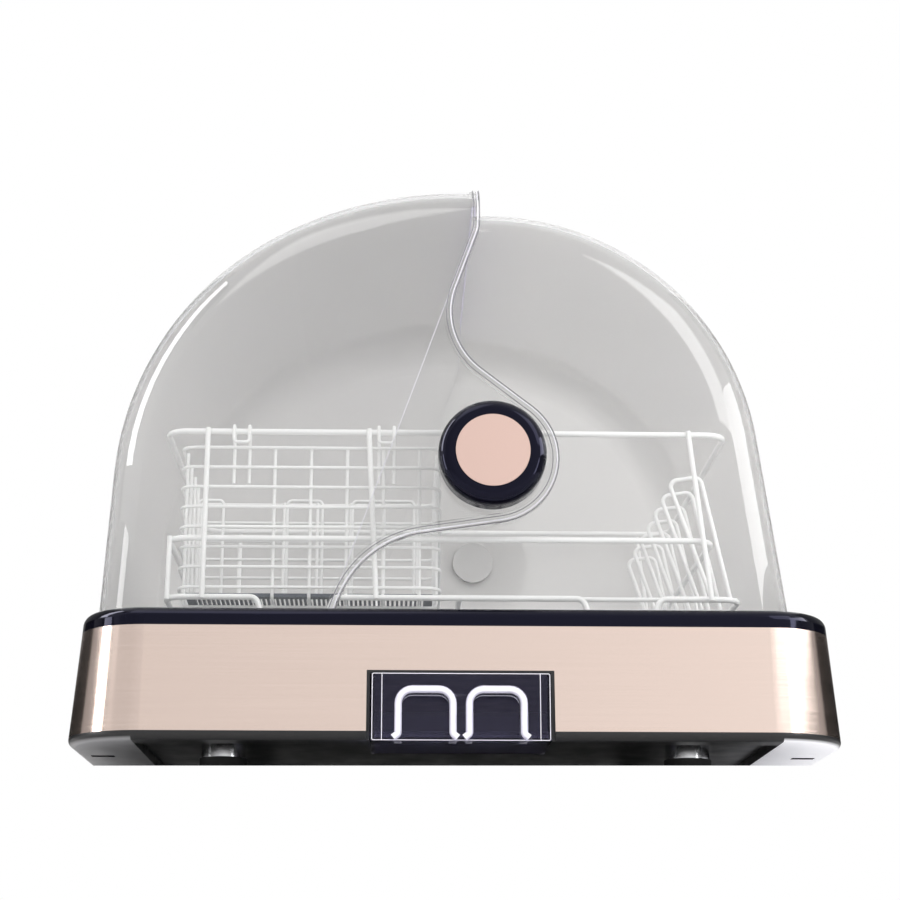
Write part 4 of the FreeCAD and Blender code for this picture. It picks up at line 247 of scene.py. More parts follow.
@dataclass(frozen=True)
class PlasticWithPaintedPadLight(Finish):
    """Plastic whose downward faces beyond a distance from the middle are pads with painted light: a pale
    painted reflection, darker with painted shade to the left, and a painted glow to the right.

    Args:
        pad: colour of the pads' painted reflection, as sRGB hex.
        pad_from: where the pads begin, from the middle along x in mm.
        left_pad_shade: how much darker painted shade makes the left pad than the right one, as a share.
        right_pad_glow: strength of the painted glow on the right pad, in place of light from the room below.
        turned: how far down a face points where a pad begins, and where it is whole.
    """

    pad: str = "#F0F0F4"
    pad_from: float = 200.0
    left_pad_shade: float = 0.6
    right_pad_glow: float = 0.24
    turned: tuple[float, float] = (-0.5, -0.9)

    def dress(self, tree: bpy.types.NodeTree, shader: bpy.types.Node, output: bpy.types.Node) -> None:
        """Paints the pads' light over the plain moulding: a pale painted reflection, painted shade to the
        left and a painted glow to the right.

        Args:
            tree: the material's tree.
            shader: its Principled shader.
            output: its output.
        """
        super().dress(tree, shader, output)
        source = add_node(tree, "ShaderNodeTexCoord").outputs
        across = add_node(tree, "ShaderNodeSeparateXYZ", {0: source["Object"]}).outputs["X"]
        down = add_node(tree, "ShaderNodeSeparateXYZ", {0: source["Normal"]}).outputs["Z"]
        out = add_node(tree, "ShaderNodeMath", {0: across}, operation="ABSOLUTE")
        start = self.pad_from * MM
        far = add_node(tree, "ShaderNodeMath", {0: out.outputs[0], 1: start}, operation="GREATER_THAN")
        under = add_node(tree, "ShaderNodeMapRange", {0: down, 1: self.turned[0], 2: self.turned[1]})
        mask = add_node(tree, "ShaderNodeMath", {0: far.outputs[0], 1: under.outputs[0]},
                        operation="MULTIPLY")
        # painted shade: the pads' pale reflection darkens from the right end to the left one
        light = add_node(tree, "ShaderNodeMapRange",
                         {0: across, 1: -start, 2: start, 3: 1 - self.left_pad_shade, 4: 1.0})
        pads = add_node(tree, "ShaderNodeMix", {0: 1.0, 6: linear(self.pad), 7: light.outputs[0]},
                        data_type="RGBA", blend_type="MULTIPLY")
        plain = shader.inputs["Base Color"].links[0].from_socket
        mix = add_node(tree, "ShaderNodeMix", {0: mask.outputs[0], 6: plain, 7: pads.outputs[2]},
                       data_type="RGBA")
        tree.links.new(mix.outputs[2], shader.inputs["Base Color"])
        # painted glow on the right pad, standing in for light from the room below
        pad_glow_ramp = add_node(tree, "ShaderNodeMapRange", {0: across, 1: 0.0, 2: start, 3: 0.0, 4: self.right_pad_glow})
        pad_glow = add_node(tree, "ShaderNodeMath", {0: pad_glow_ramp.outputs[0], 1: mask.outputs[0]},
                          operation="MULTIPLY")
        shader.inputs["Emission Color"].default_value = linear(self.pad)
        tree.links.new(pad_glow.outputs[0], shader.inputs["Emission Strength"])


@dataclass(frozen=True)
class Metal(Finish):
    """Bare or plated metal, whose grain is even or drawn out into streaks where it was brushed.

    Args:
        brushing: the way it was finished.
        anisotropy: how far a highlight is stretched.
    """

    brushing: Brushing = Brushing.EVEN
    anisotropy: float = 0.0

    def dress(self, tree: bpy.types.NodeTree, shader: bpy.types.Node, output: bpy.types.Node) -> None:
        """Adds the grain or streaks, the gloss that follows them, and the stretched highlight of brushing.

        Args:
            tree: the material's tree.
            shader: its Principled shader.
            output: its output.
        """
        shader.inputs["Metallic"].default_value = 1.0
        streaks = self.speckle(tree, tuple(length * self.grain for length in self.brushing.value))
        self.tint(tree, shader, streaks)
        self.gloss(tree, shader, streaks)
        self.relief(tree, shader, streaks)
        if self.anisotropy:
            around = add_node(tree, "ShaderNodeTangent", direction_type="RADIAL", axis="Z")
            shader.inputs["Anisotropic"].default_value = self.anisotropy
            shader.inputs["Anisotropic Rotation"].default_value = ACROSS_STREAKS
            tree.links.new(around.outputs[0], shader.inputs["Tangent"])


@dataclass(frozen=True)
class ClearMoulding(Finish):
    """Clear moulded plastic, which may turn to a frosted grey towards the rear.

    Args:
        frost: colour of the frosted part, as sRGB hex.
        clear_until: y up to which it is clear, in mm.
        frosted_from: y from which it is frosted, in mm.
        see_through: how much of the frosted part's light comes through it.
        frost_rough: roughness of the frosted part.
    """

    frost: str = "#B4B4B6"
    clear_until: float = 1000.0
    frosted_from: float = 1001.0
    see_through: float = 0.45
    frost_rough: float = 0.65

    def dress(self, tree: bpy.types.NodeTree, shader: bpy.types.Node, output: bpy.types.Node) -> None:
        """Adds the change from clear to frosted along y, and lets the lamps through as clear plastic does.

        Args:
            tree: the material's tree.
            shader: its Principled shader.
            output: its output.
        """
        place = add_node(tree, "ShaderNodeTexCoord").outputs["Object"]
        along = add_node(tree, "ShaderNodeSeparateXYZ", {0: place}).outputs["Y"]
        haze = add_node(tree, "ShaderNodeMapRange",
                        {0: along, 1: self.clear_until * MM, 2: self.frosted_from * MM},
                        interpolation_type="SMOOTHSTEP").outputs[0]
        tint = add_node(tree, "ShaderNodeMix", {0: haze, 6: linear(self.colour), 7: linear(self.frost)},
                        data_type="RGBA")
        clear = add_node(tree, "ShaderNodeMapRange", {0: haze, 3: 1.0, 4: self.see_through})
        rough = add_node(tree, "ShaderNodeMapRange", {0: haze, 3: self.roughness, 4: self.frost_rough})
        tree.links.new(tint.outputs[2], shader.inputs["Base Color"])
        tree.links.new(clear.outputs[0], shader.inputs["Transmission Weight"])
        tree.links.new(rough.outputs[0], shader.inputs["Roughness"])
        self.relief(tree, shader, self.speckle(tree, (self.grain,) * 3))
        through = add_node(tree, "ShaderNodeBsdfTransparent", {"Color": linear(self.colour)})
        lamp = add_node(tree, "ShaderNodeLightPath").outputs["Is Shadow Ray"]
        blend = add_node(tree, "ShaderNodeMixShader", {0: lamp, 1: shader.outputs[0], 2: through.outputs[0]})
        tree.links.new(blend.outputs[0], output.inputs["Surface"])


@dataclass(frozen=True)
class Coating(Finish):
    """A soft coat over wire, with slow waves where it pooled as it set.

    Args:
        pool: length of a wave in grains.
        skin: weight of the thin clear skin over the coat.
        skin_rough: roughness of that skin.
    """

    pool: float = 5.0
    skin: float = 0.3
    skin_rough: float = 0.15

    def dress(self, tree: bpy.types.NodeTree, shader: bpy.types.Node, output: bpy.types.Node) -> None:
        """Adds the slow waves of a dipped coat and a thin clear skin over it.

        Args:
            tree: the material's tree.
            shader: its Principled shader.
            output: its output.
        """
        waves = self.speckle(tree, (self.grain * self.pool,) * 3)
        self.tint(tree, shader, waves)
        self.gloss(tree, shader, waves)
        self.relief(tree, shader, waves)
        shader.inputs["Coat Weight"].default_value = self.skin
        shader.inputs["Coat Roughness"].default_value = self.skin_rough


# Polished ABS, moulded in a mirror-bright tool: near-black blue with clean reflections.
NAVY_GLOSS = Finish("polished_navy_abs", "#0C0C16", 0.06, grain=9.0, depth=0.004, shade=0.15, ior=1.54,
                    reflection="#8484A6")
# ABS from a spark-eroded tool: an even fine grain that breaks every highlight up. The real grain is too fine
# to show, so it is drawn 0.9 mm wide.
BLACK_PLASTIC = Finish("grained_black_abs", "#141416", 0.42, grain=0.9, depth=0.03, shade=0.2, ior=1.54)
# The same ABS for the tub; its two end pads underneath carry painted light: a pale painted reflection,
# painted shade to the left and a painted glow to the right.
TUB_PLASTIC = PlasticWithPaintedPadLight("grained_black_abs_with_painted_pad_light", "#101013", 0.4, grain=0.9, depth=0.03, shade=0.2,
                            ior=1.54)
# Steel strip, brushed level and tinted: long fine streaks, and highlights drawn out upwards. The real streaks
# are too fine to show, so they are drawn 0.9 mm wide.
ROSE_GOLD = Metal("brushed_rose_gold_steel", "#EFDACF", 0.2, grain=1.0, depth=0.003, shade=0.05,
                  brushing=Brushing.LEVEL, anisotropy=0.8)
# The cap's disc, spun and tinted like the band but with a satin, almost even grain.
ROSE_DISC = Metal("satin_rose_gold_disc", "#E2C4B9", 0.38, grain=0.7, depth=0.004, shade=0.05)
# Nickel plating over a turned part.
SILVER = Metal("nickel_plated_steel", "#D9DADC", 0.16, grain=2.0, depth=0.003, shade=0.05)
# Cold-headed or turned steel as it leaves the machine.
STEEL = Metal("turned_steel", "#B9BBBE", 0.3, grain=1.4, depth=0.006, shade=0.12)
# Dome of clear polycarbonate with a light smoke tint, frosted towards the rear.
LID_CLEAR = ClearMoulding("smoke_clear_polycarbonate_lid", "#F3F3F3", 0.01, grain=30.0, depth=0.004, ior=1.49,
                          frost="#DEDDDC", clear_until=-148.0, frosted_from=-112.0)
SHELL_CLEAR = ClearMoulding("smoke_clear_polycarbonate_shell", "#F8F8F8", 0.01, grain=30.0, depth=0.004,
                            ior=1.49, frost="#E6E5E4", clear_until=-146.0, frosted_from=-112.0)
# Inner rear fittings, moulded in the same frosted plastic as the wall behind them.
FROSTED_FITTING = Finish("frosted_polycarbonate_fitting", "#CFCECD", 0.5, grain=1.6, depth=0.01, shade=0.04)
# Narrow faces of the lid's bead: painted shade, a grey for where they turn away from the light.
SHADED_EDGE = Finish("painted_shade_polycarbonate_edge", "#8C8B90", 0.3, grain=3.0, depth=0.006, shade=0.1, ior=1.49)
# Broad face of the lid's bead and the shell's edge: a painted highlight, pale with a painted glow.
BEAD_HIGHLIGHT = Finish("painted_highlight_polycarbonate_edge", "#EFEDF4", 0.2, grain=4.0, depth=0.006, shade=0.05,
                   ior=1.49, glow=0.12)
# Drawer of clear styrene: brighter edges than the dome, no tint.
TRAY_CLEAR = ClearMoulding("clear_styrene_tray", "#E8E7F3", 0.02, grain=18.0, depth=0.006, ior=1.46,
                           reflection="#BDB9DC")
# Translucent silicone seal with a faint lavender cast.
SEAL_CLEAR = ClearMoulding("translucent_silicone_seal", "#ECEAF8", 0.22, grain=6.0, depth=0.01, ior=1.41,
                           frost="#E6E3F4", clear_until=-1001.0, frosted_from=-1000.0, see_through=0.3,
                           frost_rough=0.4)
# Steel wire dipped in white polymer: a soft gloss, slightly uneven where the coat pooled, and a painted glow
# that brightens it past its lighting.
WHITE_COATING = Coating("white_dipped_wire_coating_with_painted_glow", "#FBFBFA", 0.32, grain=1.5, depth=0.03, shade=0.04,
                        glow=0.1)
# Polypropylene mat, slate grey and matt.
SLATE_PLASTIC = Finish("moulded_slate_polypropylene", "#5B6470", 0.5, grain=1.0, depth=0.02, shade=0.12)
# Polished edges of clear styrene: a painted highlight, lavender white with a painted glow.
LIT_EDGE = Finish("painted_highlight_styrene_edge", "#FAF8FF", 0.12, grain=5.0, depth=0.006, shade=0.05, ior=1.59,
                  glow=0.1)
# Natural rubber feet, almost without gloss.
RUBBER = Finish("moulded_black_rubber", "#1C1C1D", 0.75, grain=0.8, depth=0.04, shade=0.2)
# Silicone sleeves and gasket, pale grey and soft.
GREY_SILICONE = Finish("moulded_grey_silicone", "#9A9CA1", 0.55, grain=1.1, depth=0.02, shade=0.1, ior=1.42)
# Polycarbonate and nylon fittings, warm white.
WHITE_PLASTIC = Finish("moulded_white_nylon", "#E9E8E4", 0.4, grain=1.0, depth=0.015, shade=0.06)
# Quartz tube of the lamp, a touch violet.
LAMP_GLASS = ClearMoulding("quartz_lamp_glass", "#E6E2F2", 0.03, grain=12.0, depth=0.01, ior=1.46)
# Glass-fibre board under green solder lacquer.
CIRCUIT_GREEN = Finish("lacquered_circuit_board", "#1F6B3C", 0.3, grain=0.7, depth=0.02, shade=0.25)
# Epoxy and phenolic housings of the electric parts.
COMPONENT_BLACK = Finish("cast_component_resin", "#1A1B1E", 0.5, grain=0.6, depth=0.02, shade=0.2)
# Aluminium fins of the heater, dull from rolling.
HEATER_METAL = Metal("rolled_aluminium_fins", "#C5C7C9", 0.35, grain=1.0, depth=0.01, shade=0.15)
# Brass pins, drawn and turned.
BRASS = Metal("drawn_brass", "#D8B566", 0.22, grain=1.2, depth=0.004, shade=0.1)

SLOT_FINISH: dict[str, Finish] = {
    "navy_gloss": NAVY_GLOSS,
    "black_plastic": BLACK_PLASTIC,
    "rose_gold": ROSE_GOLD,
    "silver": SILVER,
    "steel": STEEL,
    "clear_shell": SHELL_CLEAR,
    "clear_tray": TRAY_CLEAR,
    "clear_seal": SEAL_CLEAR,
    "white_coating": WHITE_COATING,
    "slate_plastic": SLATE_PLASTIC,
    "rubber": RUBBER,
    "grey_silicone": GREY_SILICONE,
    "white_plastic": WHITE_PLASTIC,
    "lamp_glass": LAMP_GLASS,
    "circuit_green": CIRCUIT_GREEN,
    "component_black": COMPONENT_BLACK,
    "heater_metal": HEATER_METAL,
    "brass": BRASS,
}


# ------------------------------------------------------------ wires and ribs


def polyline_mesh(lines: list[Polyline], closed: bool) -> bpy.types.Mesh:
    """Makes a mesh of edges only.

    Args:
        lines: the corners of each run, in mm from the casing's middle.
        closed: whether each run goes back to its start.

    Returns:
        The mesh, in metres in the frame, with each corner's bend radius as the attribute "bend".
    """
    places, edges, bends = [], [], []
    for line in lines:
        first = len(places)
        places += [(x * MM, (y + SHIFT_Y) * MM, z * MM) for x, y, z, _ in line]
        bends += [bend * MM for *_, bend in line]
        edges += [(first + index, first + index + 1) for index in range(len(line) - 1)]
        if closed:
            edges.append((first + len(line) - 1, first))
    mesh = bpy.data.meshes.new("wire_path")
    mesh.from_pydata(places, edges, [])
    mesh.attributes.new("bend", "FLOAT", "POINT").data.foreach_set("value", bends)
    return mesh


class RowTree:
    """A Geometry Nodes tree that repeats a shape in a row, with its size inputs by name."""

    def __init__(self, name: str, inputs: dict[str, str]) -> None:
        """Starts the tree.

        Args:
            name: the tree's name.
            inputs: the kind of socket of each further input, by the input's name.
        """
        self.tree = bpy.data.node_groups.new(name, "GeometryNodeTree")
        face = self.tree.interface
        face.new_socket("Geometry", in_out="INPUT", socket_type="NodeSocketGeometry")
        wanted = {**inputs, "Count": "Int", "Step": "Vector", "Material": "Material"}
        self.sockets = {
            word: face.new_socket(word, in_out="INPUT", socket_type="NodeSocket" + kind).identifier
            for word, kind in wanted.items()}
        face.new_socket("Geometry", in_out="OUTPUT", socket_type="NodeSocketGeometry")
        self.source = add_node(self.tree, "NodeGroupInput")
        self.finish(self.shape())

    def shape(self) -> bpy.types.NodeSocket:
        """Returns the shape to repeat, here the one that comes in."""
        return self.source.outputs["Geometry"]

    def finish(self, shape: bpy.types.NodeSocket) -> None:
        """Repeats the shape along the step, makes the copies real and gives them the material.

        Args:
            shape: what is repeated.
        """
        source = self.source.outputs
        line = add_node(self.tree, "GeometryNodeMeshLine",
                        {"Count": source["Count"], "Offset": source["Step"]},
                        mode="OFFSET", count_mode="TOTAL")
        copies = add_node(self.tree, "GeometryNodeInstanceOnPoints",
                          {"Points": line.outputs[0], "Instance": shape})
        real = add_node(self.tree, "GeometryNodeRealizeInstances", {0: copies.outputs[0]})
        dressed = add_node(self.tree, "GeometryNodeSetMaterial",
                           {"Geometry": real.outputs[0], "Material": source["Material"]})
        add_node(self.tree, "NodeGroupOutput", {0: dressed.outputs[0]})

    def result(self, mesh: bpy.types.Mesh, values: dict[str, object]) -> bpy.types.Mesh:
        """Runs the tree on a mesh.

        Args:
            mesh: what goes in. It is removed afterwards.
            values: the value of each input, by the input's name.

        Returns:
            A plain mesh of the result.
        """
        carrier = in_scene("carrier", mesh)
        modifier = carrier.modifiers.new("row", "NODES")
        modifier.node_group = self.tree
        for word, value in values.items():
            modifier[self.sockets[word]] = value
        seen = carrier.evaluated_get(bpy.context.evaluated_depsgraph_get())
        plain = bpy.data.meshes.new_from_object(seen)
        bpy.data.objects.remove(carrier)
        bpy.data.meshes.remove(mesh)
        return plain


class WireTree(RowTree):
    """Bends runs of edges at their corners and sweeps a round wire along them before it repeats them."""

    def __init__(self) -> None:
        """Starts the tree with the wire's own inputs."""
        super().__init__("bent_wires", {"Wire radius": "Float", "Sides": "Int", "Bend steps": "Int"})

    def shape(self) -> bpy.types.NodeSocket:
        """Bends and sweeps the runs that come in.

        Returns:
            The swept wires.
        """
        source = self.source.outputs
        curve = add_node(self.tree, "GeometryNodeMeshToCurve", {0: source["Geometry"]})
        bend = add_node(self.tree, "GeometryNodeInputNamedAttribute", {"Name": "bend"}, data_type="FLOAT")
        rounded = add_node(self.tree, "GeometryNodeFilletCurve",
                           {"Curve": curve.outputs[0], "Count": source["Bend steps"],
                            "Radius": bend.outputs[0], "Limit Radius": True}, mode="POLY")
        profile = add_node(self.tree, "GeometryNodeCurvePrimitiveCircle",
                           {"Resolution": source["Sides"], "Radius": source["Wire radius"]}, mode="RADIUS")
        swept = add_node(self.tree, "GeometryNodeCurveToMesh",
                         {"Curve": rounded.outputs[0], "Profile Curve": profile.outputs[0],
                          "Fill Caps": True})
        return add_node(self.tree, "GeometryNodeSetShadeSmooth", {0: swept.outputs[0]}).outputs[0]


@dataclass
class WireSet:
    """Wires of one thickness that share a step.

    Args:
        lines: the runs, in mm.
        radius: of the wire, in mm.
        closed: whether the runs are rings.
        count: how many times the runs are repeated.
        step: from one to the next, in mm.
        sides: faces around the wire.
        steps: corners put into each bend.
    """

    lines: list[Polyline]
    radius: float
    closed: bool = False
    count: int = 1
    step: tuple[float, float, float] = (0.0, 0.0, 0.0)
    sides: int = 12
    steps: int = 6

    def mesh(self, tree: WireTree, material: bpy.types.Material) -> bpy.types.Mesh:
        """Returns the wires as a plain mesh."""
        values = {"Wire radius": self.radius * MM, "Sides": self.sides, "Bend steps": self.steps,
                  "Count": self.count, "Step": tuple(part * MM for part in self.step), "Material": material}
        return tree.result(polyline_mesh(self.lines, self.closed), values)


def joined(name: str, meshes: list[bpy.types.Mesh], material: bpy.types.Material) -> bpy.types.Object:
    """Puts meshes together as one object with its faces outwards.

    Args:
        name: of the piece.
        meshes: what it is made of. They are removed afterwards.
        material: its one material.

    Returns:
        The object, linked to the scene.
    """
    work = bmesh.new()
    for mesh in meshes:
        work.from_mesh(mesh)
        bpy.data.meshes.remove(mesh)
    bmesh.ops.recalc_face_normals(work, faces=work.faces)
    whole = bpy.data.meshes.new(name)
    for face in work.faces:
        face.material_index = 0
    work.to_mesh(whole)
    work.free()
    whole.materials.append(material)
    return in_scene(name, whole)


def mirrored(line: Polyline) -> Polyline:
    """Returns the same run on the other side of the middle plane."""
    return [(x, -y, z, bend) for x, y, z, bend in line]


@dataclass
class DishRack:
    """The white rack: three rails around it, posts, floor wires and a row of plate loops, in mm.

    Args:
        half_depth: from its middle to the front or rear rail.
        rail_radius: of the rails and of the crossing rail.
        post_radius: of the posts.
        thin_radius: of the floor wires and the legs.
        loop_radius: of the plate loops.
        corner: bend of the rails at the rack's corners.
        top: left, right and height of the top rail.
        middle: the same of the middle rail.
        base: the same of the lower rail.
        foot_level: height of the feet.
        feet: place of each foot along x.
        foot_half: half the length of a foot.
        foot_spread: from a foot's middle to where its rail is level again.
        foot_bend: bend of the rail at a foot.
        posts: foot and head of each post along x.
        leg_x: foot and head of the thin leg along x.
        leg_y: its place along y.
        floor_level: height of the floor wires.
        first: place of the first floor wire and loop along y.
        pitch: from one floor wire or loop to the next.
        front_wires: floor wires in front, beside the basket.
        rear_wires: floor wires behind, over the whole width.
        cross: place of the crossing rail along x.
        cross_half: half its length.
        loops: number of plate loops.
        loop_x: the loop's four corners along x, from its left foot round.
        loop_rise: height of its left corner over the floor wires.
        loop_tip: how much higher its right corner is.
        loop_bend: bend of its corners.
        over: how far a wire reaches past the one it is welded to.
    """

    half_depth: float = 140.0
    rail_radius: float = 2.0
    post_radius: float = 1.7
    thin_radius: float = 1.6
    loop_radius: float = 1.5
    corner: float = 13.0
    top: tuple[float, float, float] = (-190.0, 178.5, 222.2)
    middle: tuple[float, float, float] = (-187.0, 167.5, 150.1)
    base: tuple[float, float, float] = (-187.5, 184.0, 111.3)
    foot_level: float = 69.6
    feet: tuple[float, float] = (-104.0, 107.0)
    foot_half: float = 11.0
    foot_spread: float = 25.0
    foot_bend: float = 6.0
    posts: tuple[tuple[float, float], ...] = ((-163.5, -163.0), (-51.8, -57.6), (165.2, 153.2))
    leg_x: tuple[float, float] = (-186.4, -185.9)
    leg_y: float = -138.9
    floor_level: float = 114.92
    first: float = -120.0
    pitch: float = 40.0
    front_wires: int = 3
    rear_wires: int = 4
    cross: float = 2.0
    cross_half: float = 138.0
    loops: int = 7
    loop_x: tuple[float, float, float, float] = (168.5, 142.5, 164.0, 181.0)
    loop_rise: float = 81.0
    loop_tip: float = 3.0
    loop_bend: float = 5.0
    over: float = 1.5

    def ring(self, size: tuple[float, float, float]) -> Polyline:
        """Draws a level rail around the rack.

        Args:
            size: its left, right and height.

        Returns:
            The ring.
        """
        left, right, level = size
        half, bend = self.half_depth, self.corner
        return [(left, -half, level, bend), (right, -half, level, bend), (right, half, level, bend),
                (left, half, level, bend)]

    def base_rail(self) -> Polyline:
        """Draws the lower rail, which dips to four feet.

        Returns:
            The ring.
        """
        left, right, level = self.base
        half, bend = self.half_depth, self.corner
        shape = ((-self.foot_spread, level), (-self.foot_half, self.foot_level),
                 (self.foot_half, self.foot_level), (self.foot_spread, level))
        front = [(middle + away, -half, height, self.foot_bend)
                 for middle in self.feet for away, height in shape]
        front = [(left, -half, level, bend), *front, (right, -half, level, bend)]
        return front + mirrored(front)[::-1]

    def uprights(self) -> list[Polyline]:
        """Returns the posts against the outside of the front rails."""
        y = -(self.half_depth + self.rail_radius + self.post_radius)
        return [[(foot, y, self.base[2] - self.over, 0.0), (head, y, self.top[2] + self.over, 0.0)]
                for foot, head in self.posts]

    def leg(self) -> Polyline:
        """Returns the thin wire at the left front corner."""
        foot, head = self.leg_x
        return [(foot, self.leg_y, self.base[2] - self.over, 0.0),
                (head, self.leg_y, self.middle[2] + self.over, 0.0)]

    def loop(self) -> Polyline:
        """Draws the first plate loop.

        Returns:
            The run from its left foot to its right one.
        """
        foot, high = self.floor_level + self.thin_radius, self.floor_level + self.loop_rise
        heights = (foot, high, high + self.loop_tip, foot)
        return [(x, self.first, height, self.loop_bend) for x, height in zip(self.loop_x, heights)]

    def build(self, tree: WireTree) -> list[bpy.types.Object]:
        """Builds the rack.

        Args:
            tree: sweeps its wires.

        Returns:
            Its one piece.
        """
        coat = WHITE_COATING.material()
        rails = [self.ring(self.top), self.ring(self.middle), self.base_rail()]
        posts = self.uprights()
        row = (0.0, self.pitch, 0.0)
        y, level, low = self.first, self.floor_level, self.base[2]
        left, right = self.base[0] - self.over, self.base[1] + self.over
        sets = [
            WireSet(rails, self.rail_radius, closed=True),
            WireSet(posts + [mirrored(post) for post in posts], self.post_radius),
            WireSet([self.leg(), mirrored(self.leg())], self.thin_radius),
            WireSet([[(self.cross, -self.cross_half, low, 0.0), (self.cross, self.cross_half, low, 0.0)]],
                    self.rail_radius),
            WireSet([[(self.cross - self.over, y, level, 0.0), (right, y, level, 0.0)]], self.thin_radius,
                    count=self.front_wires, step=row),
            WireSet([[(left, 0, level, 0.0), (right, 0, level, 0.0)]], self.thin_radius,
                    count=self.rear_wires, step=row),
            WireSet([self.loop()], self.loop_radius, count=self.loops, step=row),
        ]
        piece = joined("rack_wires", [part.mesh(tree, coat) for part in sets], coat)
        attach(piece, "rack")
        for node in ("rack_rails", "rack_posts", "rack_floor_wires", "plate_loops"):
            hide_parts(node)
        return [piece]


@dataclass
class CutleryBasket:
    """The wires of the basket that hangs in the rack's left half: rings, ribs, hooks and loops, in mm.

    Args:
        wire: radius of its wires.
        left: its left side.
        right: its right side.
        front: its front.
        back: its rear.
        top: height of the top ring in front.
        base: height of the floor in front.
        fall: how much lower the rear is than the front.
        corner: bend of the rings.
        ring_pitch: from one ring to the next.
        rings: number of rings.
        inward: how far the ribs stand inside the rings.
        bend: of the ribs.
        ribs: number of ribs each way.
        rib_inset: from the right side to the first rib.
        rib_pitch: from one rib to the next.
        cross_first: place of the first cross rib along y.
        cross_pitch: from one cross rib to the next.
        hooks: middle of each hook along x.
        hook_half: half the width of a hook.
        hook_y: place of the tongue along y.
        hook_z: heights of the rear legs' feet, the tongue and the top.
        hook_bend: bend of a hook.
        loops: left and right leg of each upright loop along x.
        loop_y: their place along y.
        loop_z: their foot and head.
        loop_bend: bend of a loop.
    """

    wire: float = 1.1
    left: float = -180.0
    right: float = -10.5
    front: float = -136.2
    back: float = -15.0
    top: float = 212.4
    base: float = 112.0
    fall: float = 8.0
    corner: float = 8.0
    ring_pitch: float = 13.4
    rings: int = 8
    inward: float = 2.2
    bend: float = 2.7
    ribs: int = 5
    rib_inset: float = 13.5
    rib_pitch: float = 23.8
    cross_first: float = -120.0
    cross_pitch: float = 24.0
    hooks: tuple[float, float] = (-141.0, -46.0)
    hook_half: float = 5.0
    hook_y: float = -143.4
    hook_z: tuple[float, float, float] = (188.2, 214.2, 225.6)
    hook_bend: float = 2.4
    loops: tuple[tuple[float, float], ...] = ((-175.0, -158.0), (-114.0, -90.0), (-69.3, -27.0))
    loop_y: float = -69.8
    loop_z: tuple[float, float] = (105.4, 193.4)
    loop_bend: float = 3.3

    def drop(self, y: float) -> float:
        """Returns how much lower the basket is at y than at its front."""
        return self.fall * (y - self.front) / (self.back - self.front)

    def ring(self) -> Polyline:
        """Returns the top ring."""
        low, bend = self.top - self.fall, self.corner
        return [(self.left, self.front, self.top, bend), (self.right, self.front, self.top, bend),
                (self.right, self.back, low, bend), (self.left, self.back, low, bend)]

    def rib(self) -> Polyline:
        """Draws the first rib that runs down the front, under the floor and up the rear.

        Returns:
            The run.
        """
        x, front, back = self.right - self.rib_inset, self.front + self.inward, self.back - self.inward
        top, bend = self.top + self.wire, self.bend
        return [(x, front, top, bend), (x, front, self.base, bend), (x, back, self.base - self.fall, bend),
                (x, back, top - self.fall, bend)]

    def cross_rib(self) -> Polyline:
        """Draws the first rib across the basket.

        Returns:
            The run from the left side to the right one.
        """
        y, left, right = self.cross_first, self.left + self.inward, self.right - self.inward
        high, low = self.top + self.wire - self.drop(y), self.base - self.drop(y) - self.inward
        bend = self.bend
        return [(left, y, high, bend), (left, y, low, bend), (right, y, low, bend), (right, y, high, bend)]

    def hook(self, centre: float) -> Polyline:
        """Draws a hook over the top rail: two legs behind it, joined by a tongue in front.

        Args:
            centre: its middle along x.

        Returns:
            The run from its left leg to its right one.
        """
        back, front = self.front + self.inward, self.hook_y
        foot, tongue, high = self.hook_z
        left, right = centre - self.hook_half, centre + self.hook_half
        down = ((back, foot), (back, high), (front, high), (front, tongue))
        return [(x, y, height, self.hook_bend) for x, way in ((left, down), (right, down[::-1]))
                for y, height in way]

    def loop(self, left: float, right: float) -> Polyline:
        """Draws an upright loop that parts the cutlery.

        Args:
            left: its left leg along x.
            right: its right leg along x.

        Returns:
            The run from its left leg to its right one.
        """
        y, bend = self.loop_y, self.loop_bend
        low, high = self.loop_z
        return [(left, y, low, bend), (left, y, high, bend), (right, y, high, bend), (right, y, low, bend)]

    def build(self, tree: WireTree) -> list[bpy.types.Object]:
        """Builds the wires.

        Args:
            tree: sweeps them.

        Returns:
            Their one piece.
        """
        coat = WHITE_COATING.material()
        pitch = self.cross_pitch
        sets = [
            WireSet([self.ring()], self.wire, closed=True, count=self.rings, step=(0, 0, -self.ring_pitch)),
            WireSet([self.rib()], self.wire, count=self.ribs, step=(-self.rib_pitch, 0, 0)),
            WireSet([self.cross_rib()], self.wire, count=self.ribs,
                    step=(0, pitch, -pitch * self.fall / (self.back - self.front))),
            WireSet([self.hook(centre) for centre in self.hooks], self.wire),
            WireSet([self.loop(*legs) for legs in self.loops], self.wire),
        ]
        piece = joined("basket_wires", [part.mesh(tree, coat) for part in sets], coat)
        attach(piece, "basket")
        for node in ("basket_rings", "basket_ribs", "basket_hooks", "basket_dividers"):
            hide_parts(node)
        return [piece]


def heading(angle: float) -> Vector:
    """Returns a step of 1 in the upright plane, at an angle in degrees from +x."""
    turn = math.radians(angle)
    return Vector((math.cos(turn), math.sin(turn)))


def crossing(first: tuple[Vector, float], second: tuple[Vector, float]) -> Vector:
    """Finds where two lines meet.

    Args:
        first: a point on one line, and its angle in degrees.
        second: the same of the other line.

    Returns:
        The point.
    """
    way, other = heading(first[1]), heading(second[1])
    gap = second[0] - first[0]
    return first[0] + way * (gap.cross(other) / way.cross(other))


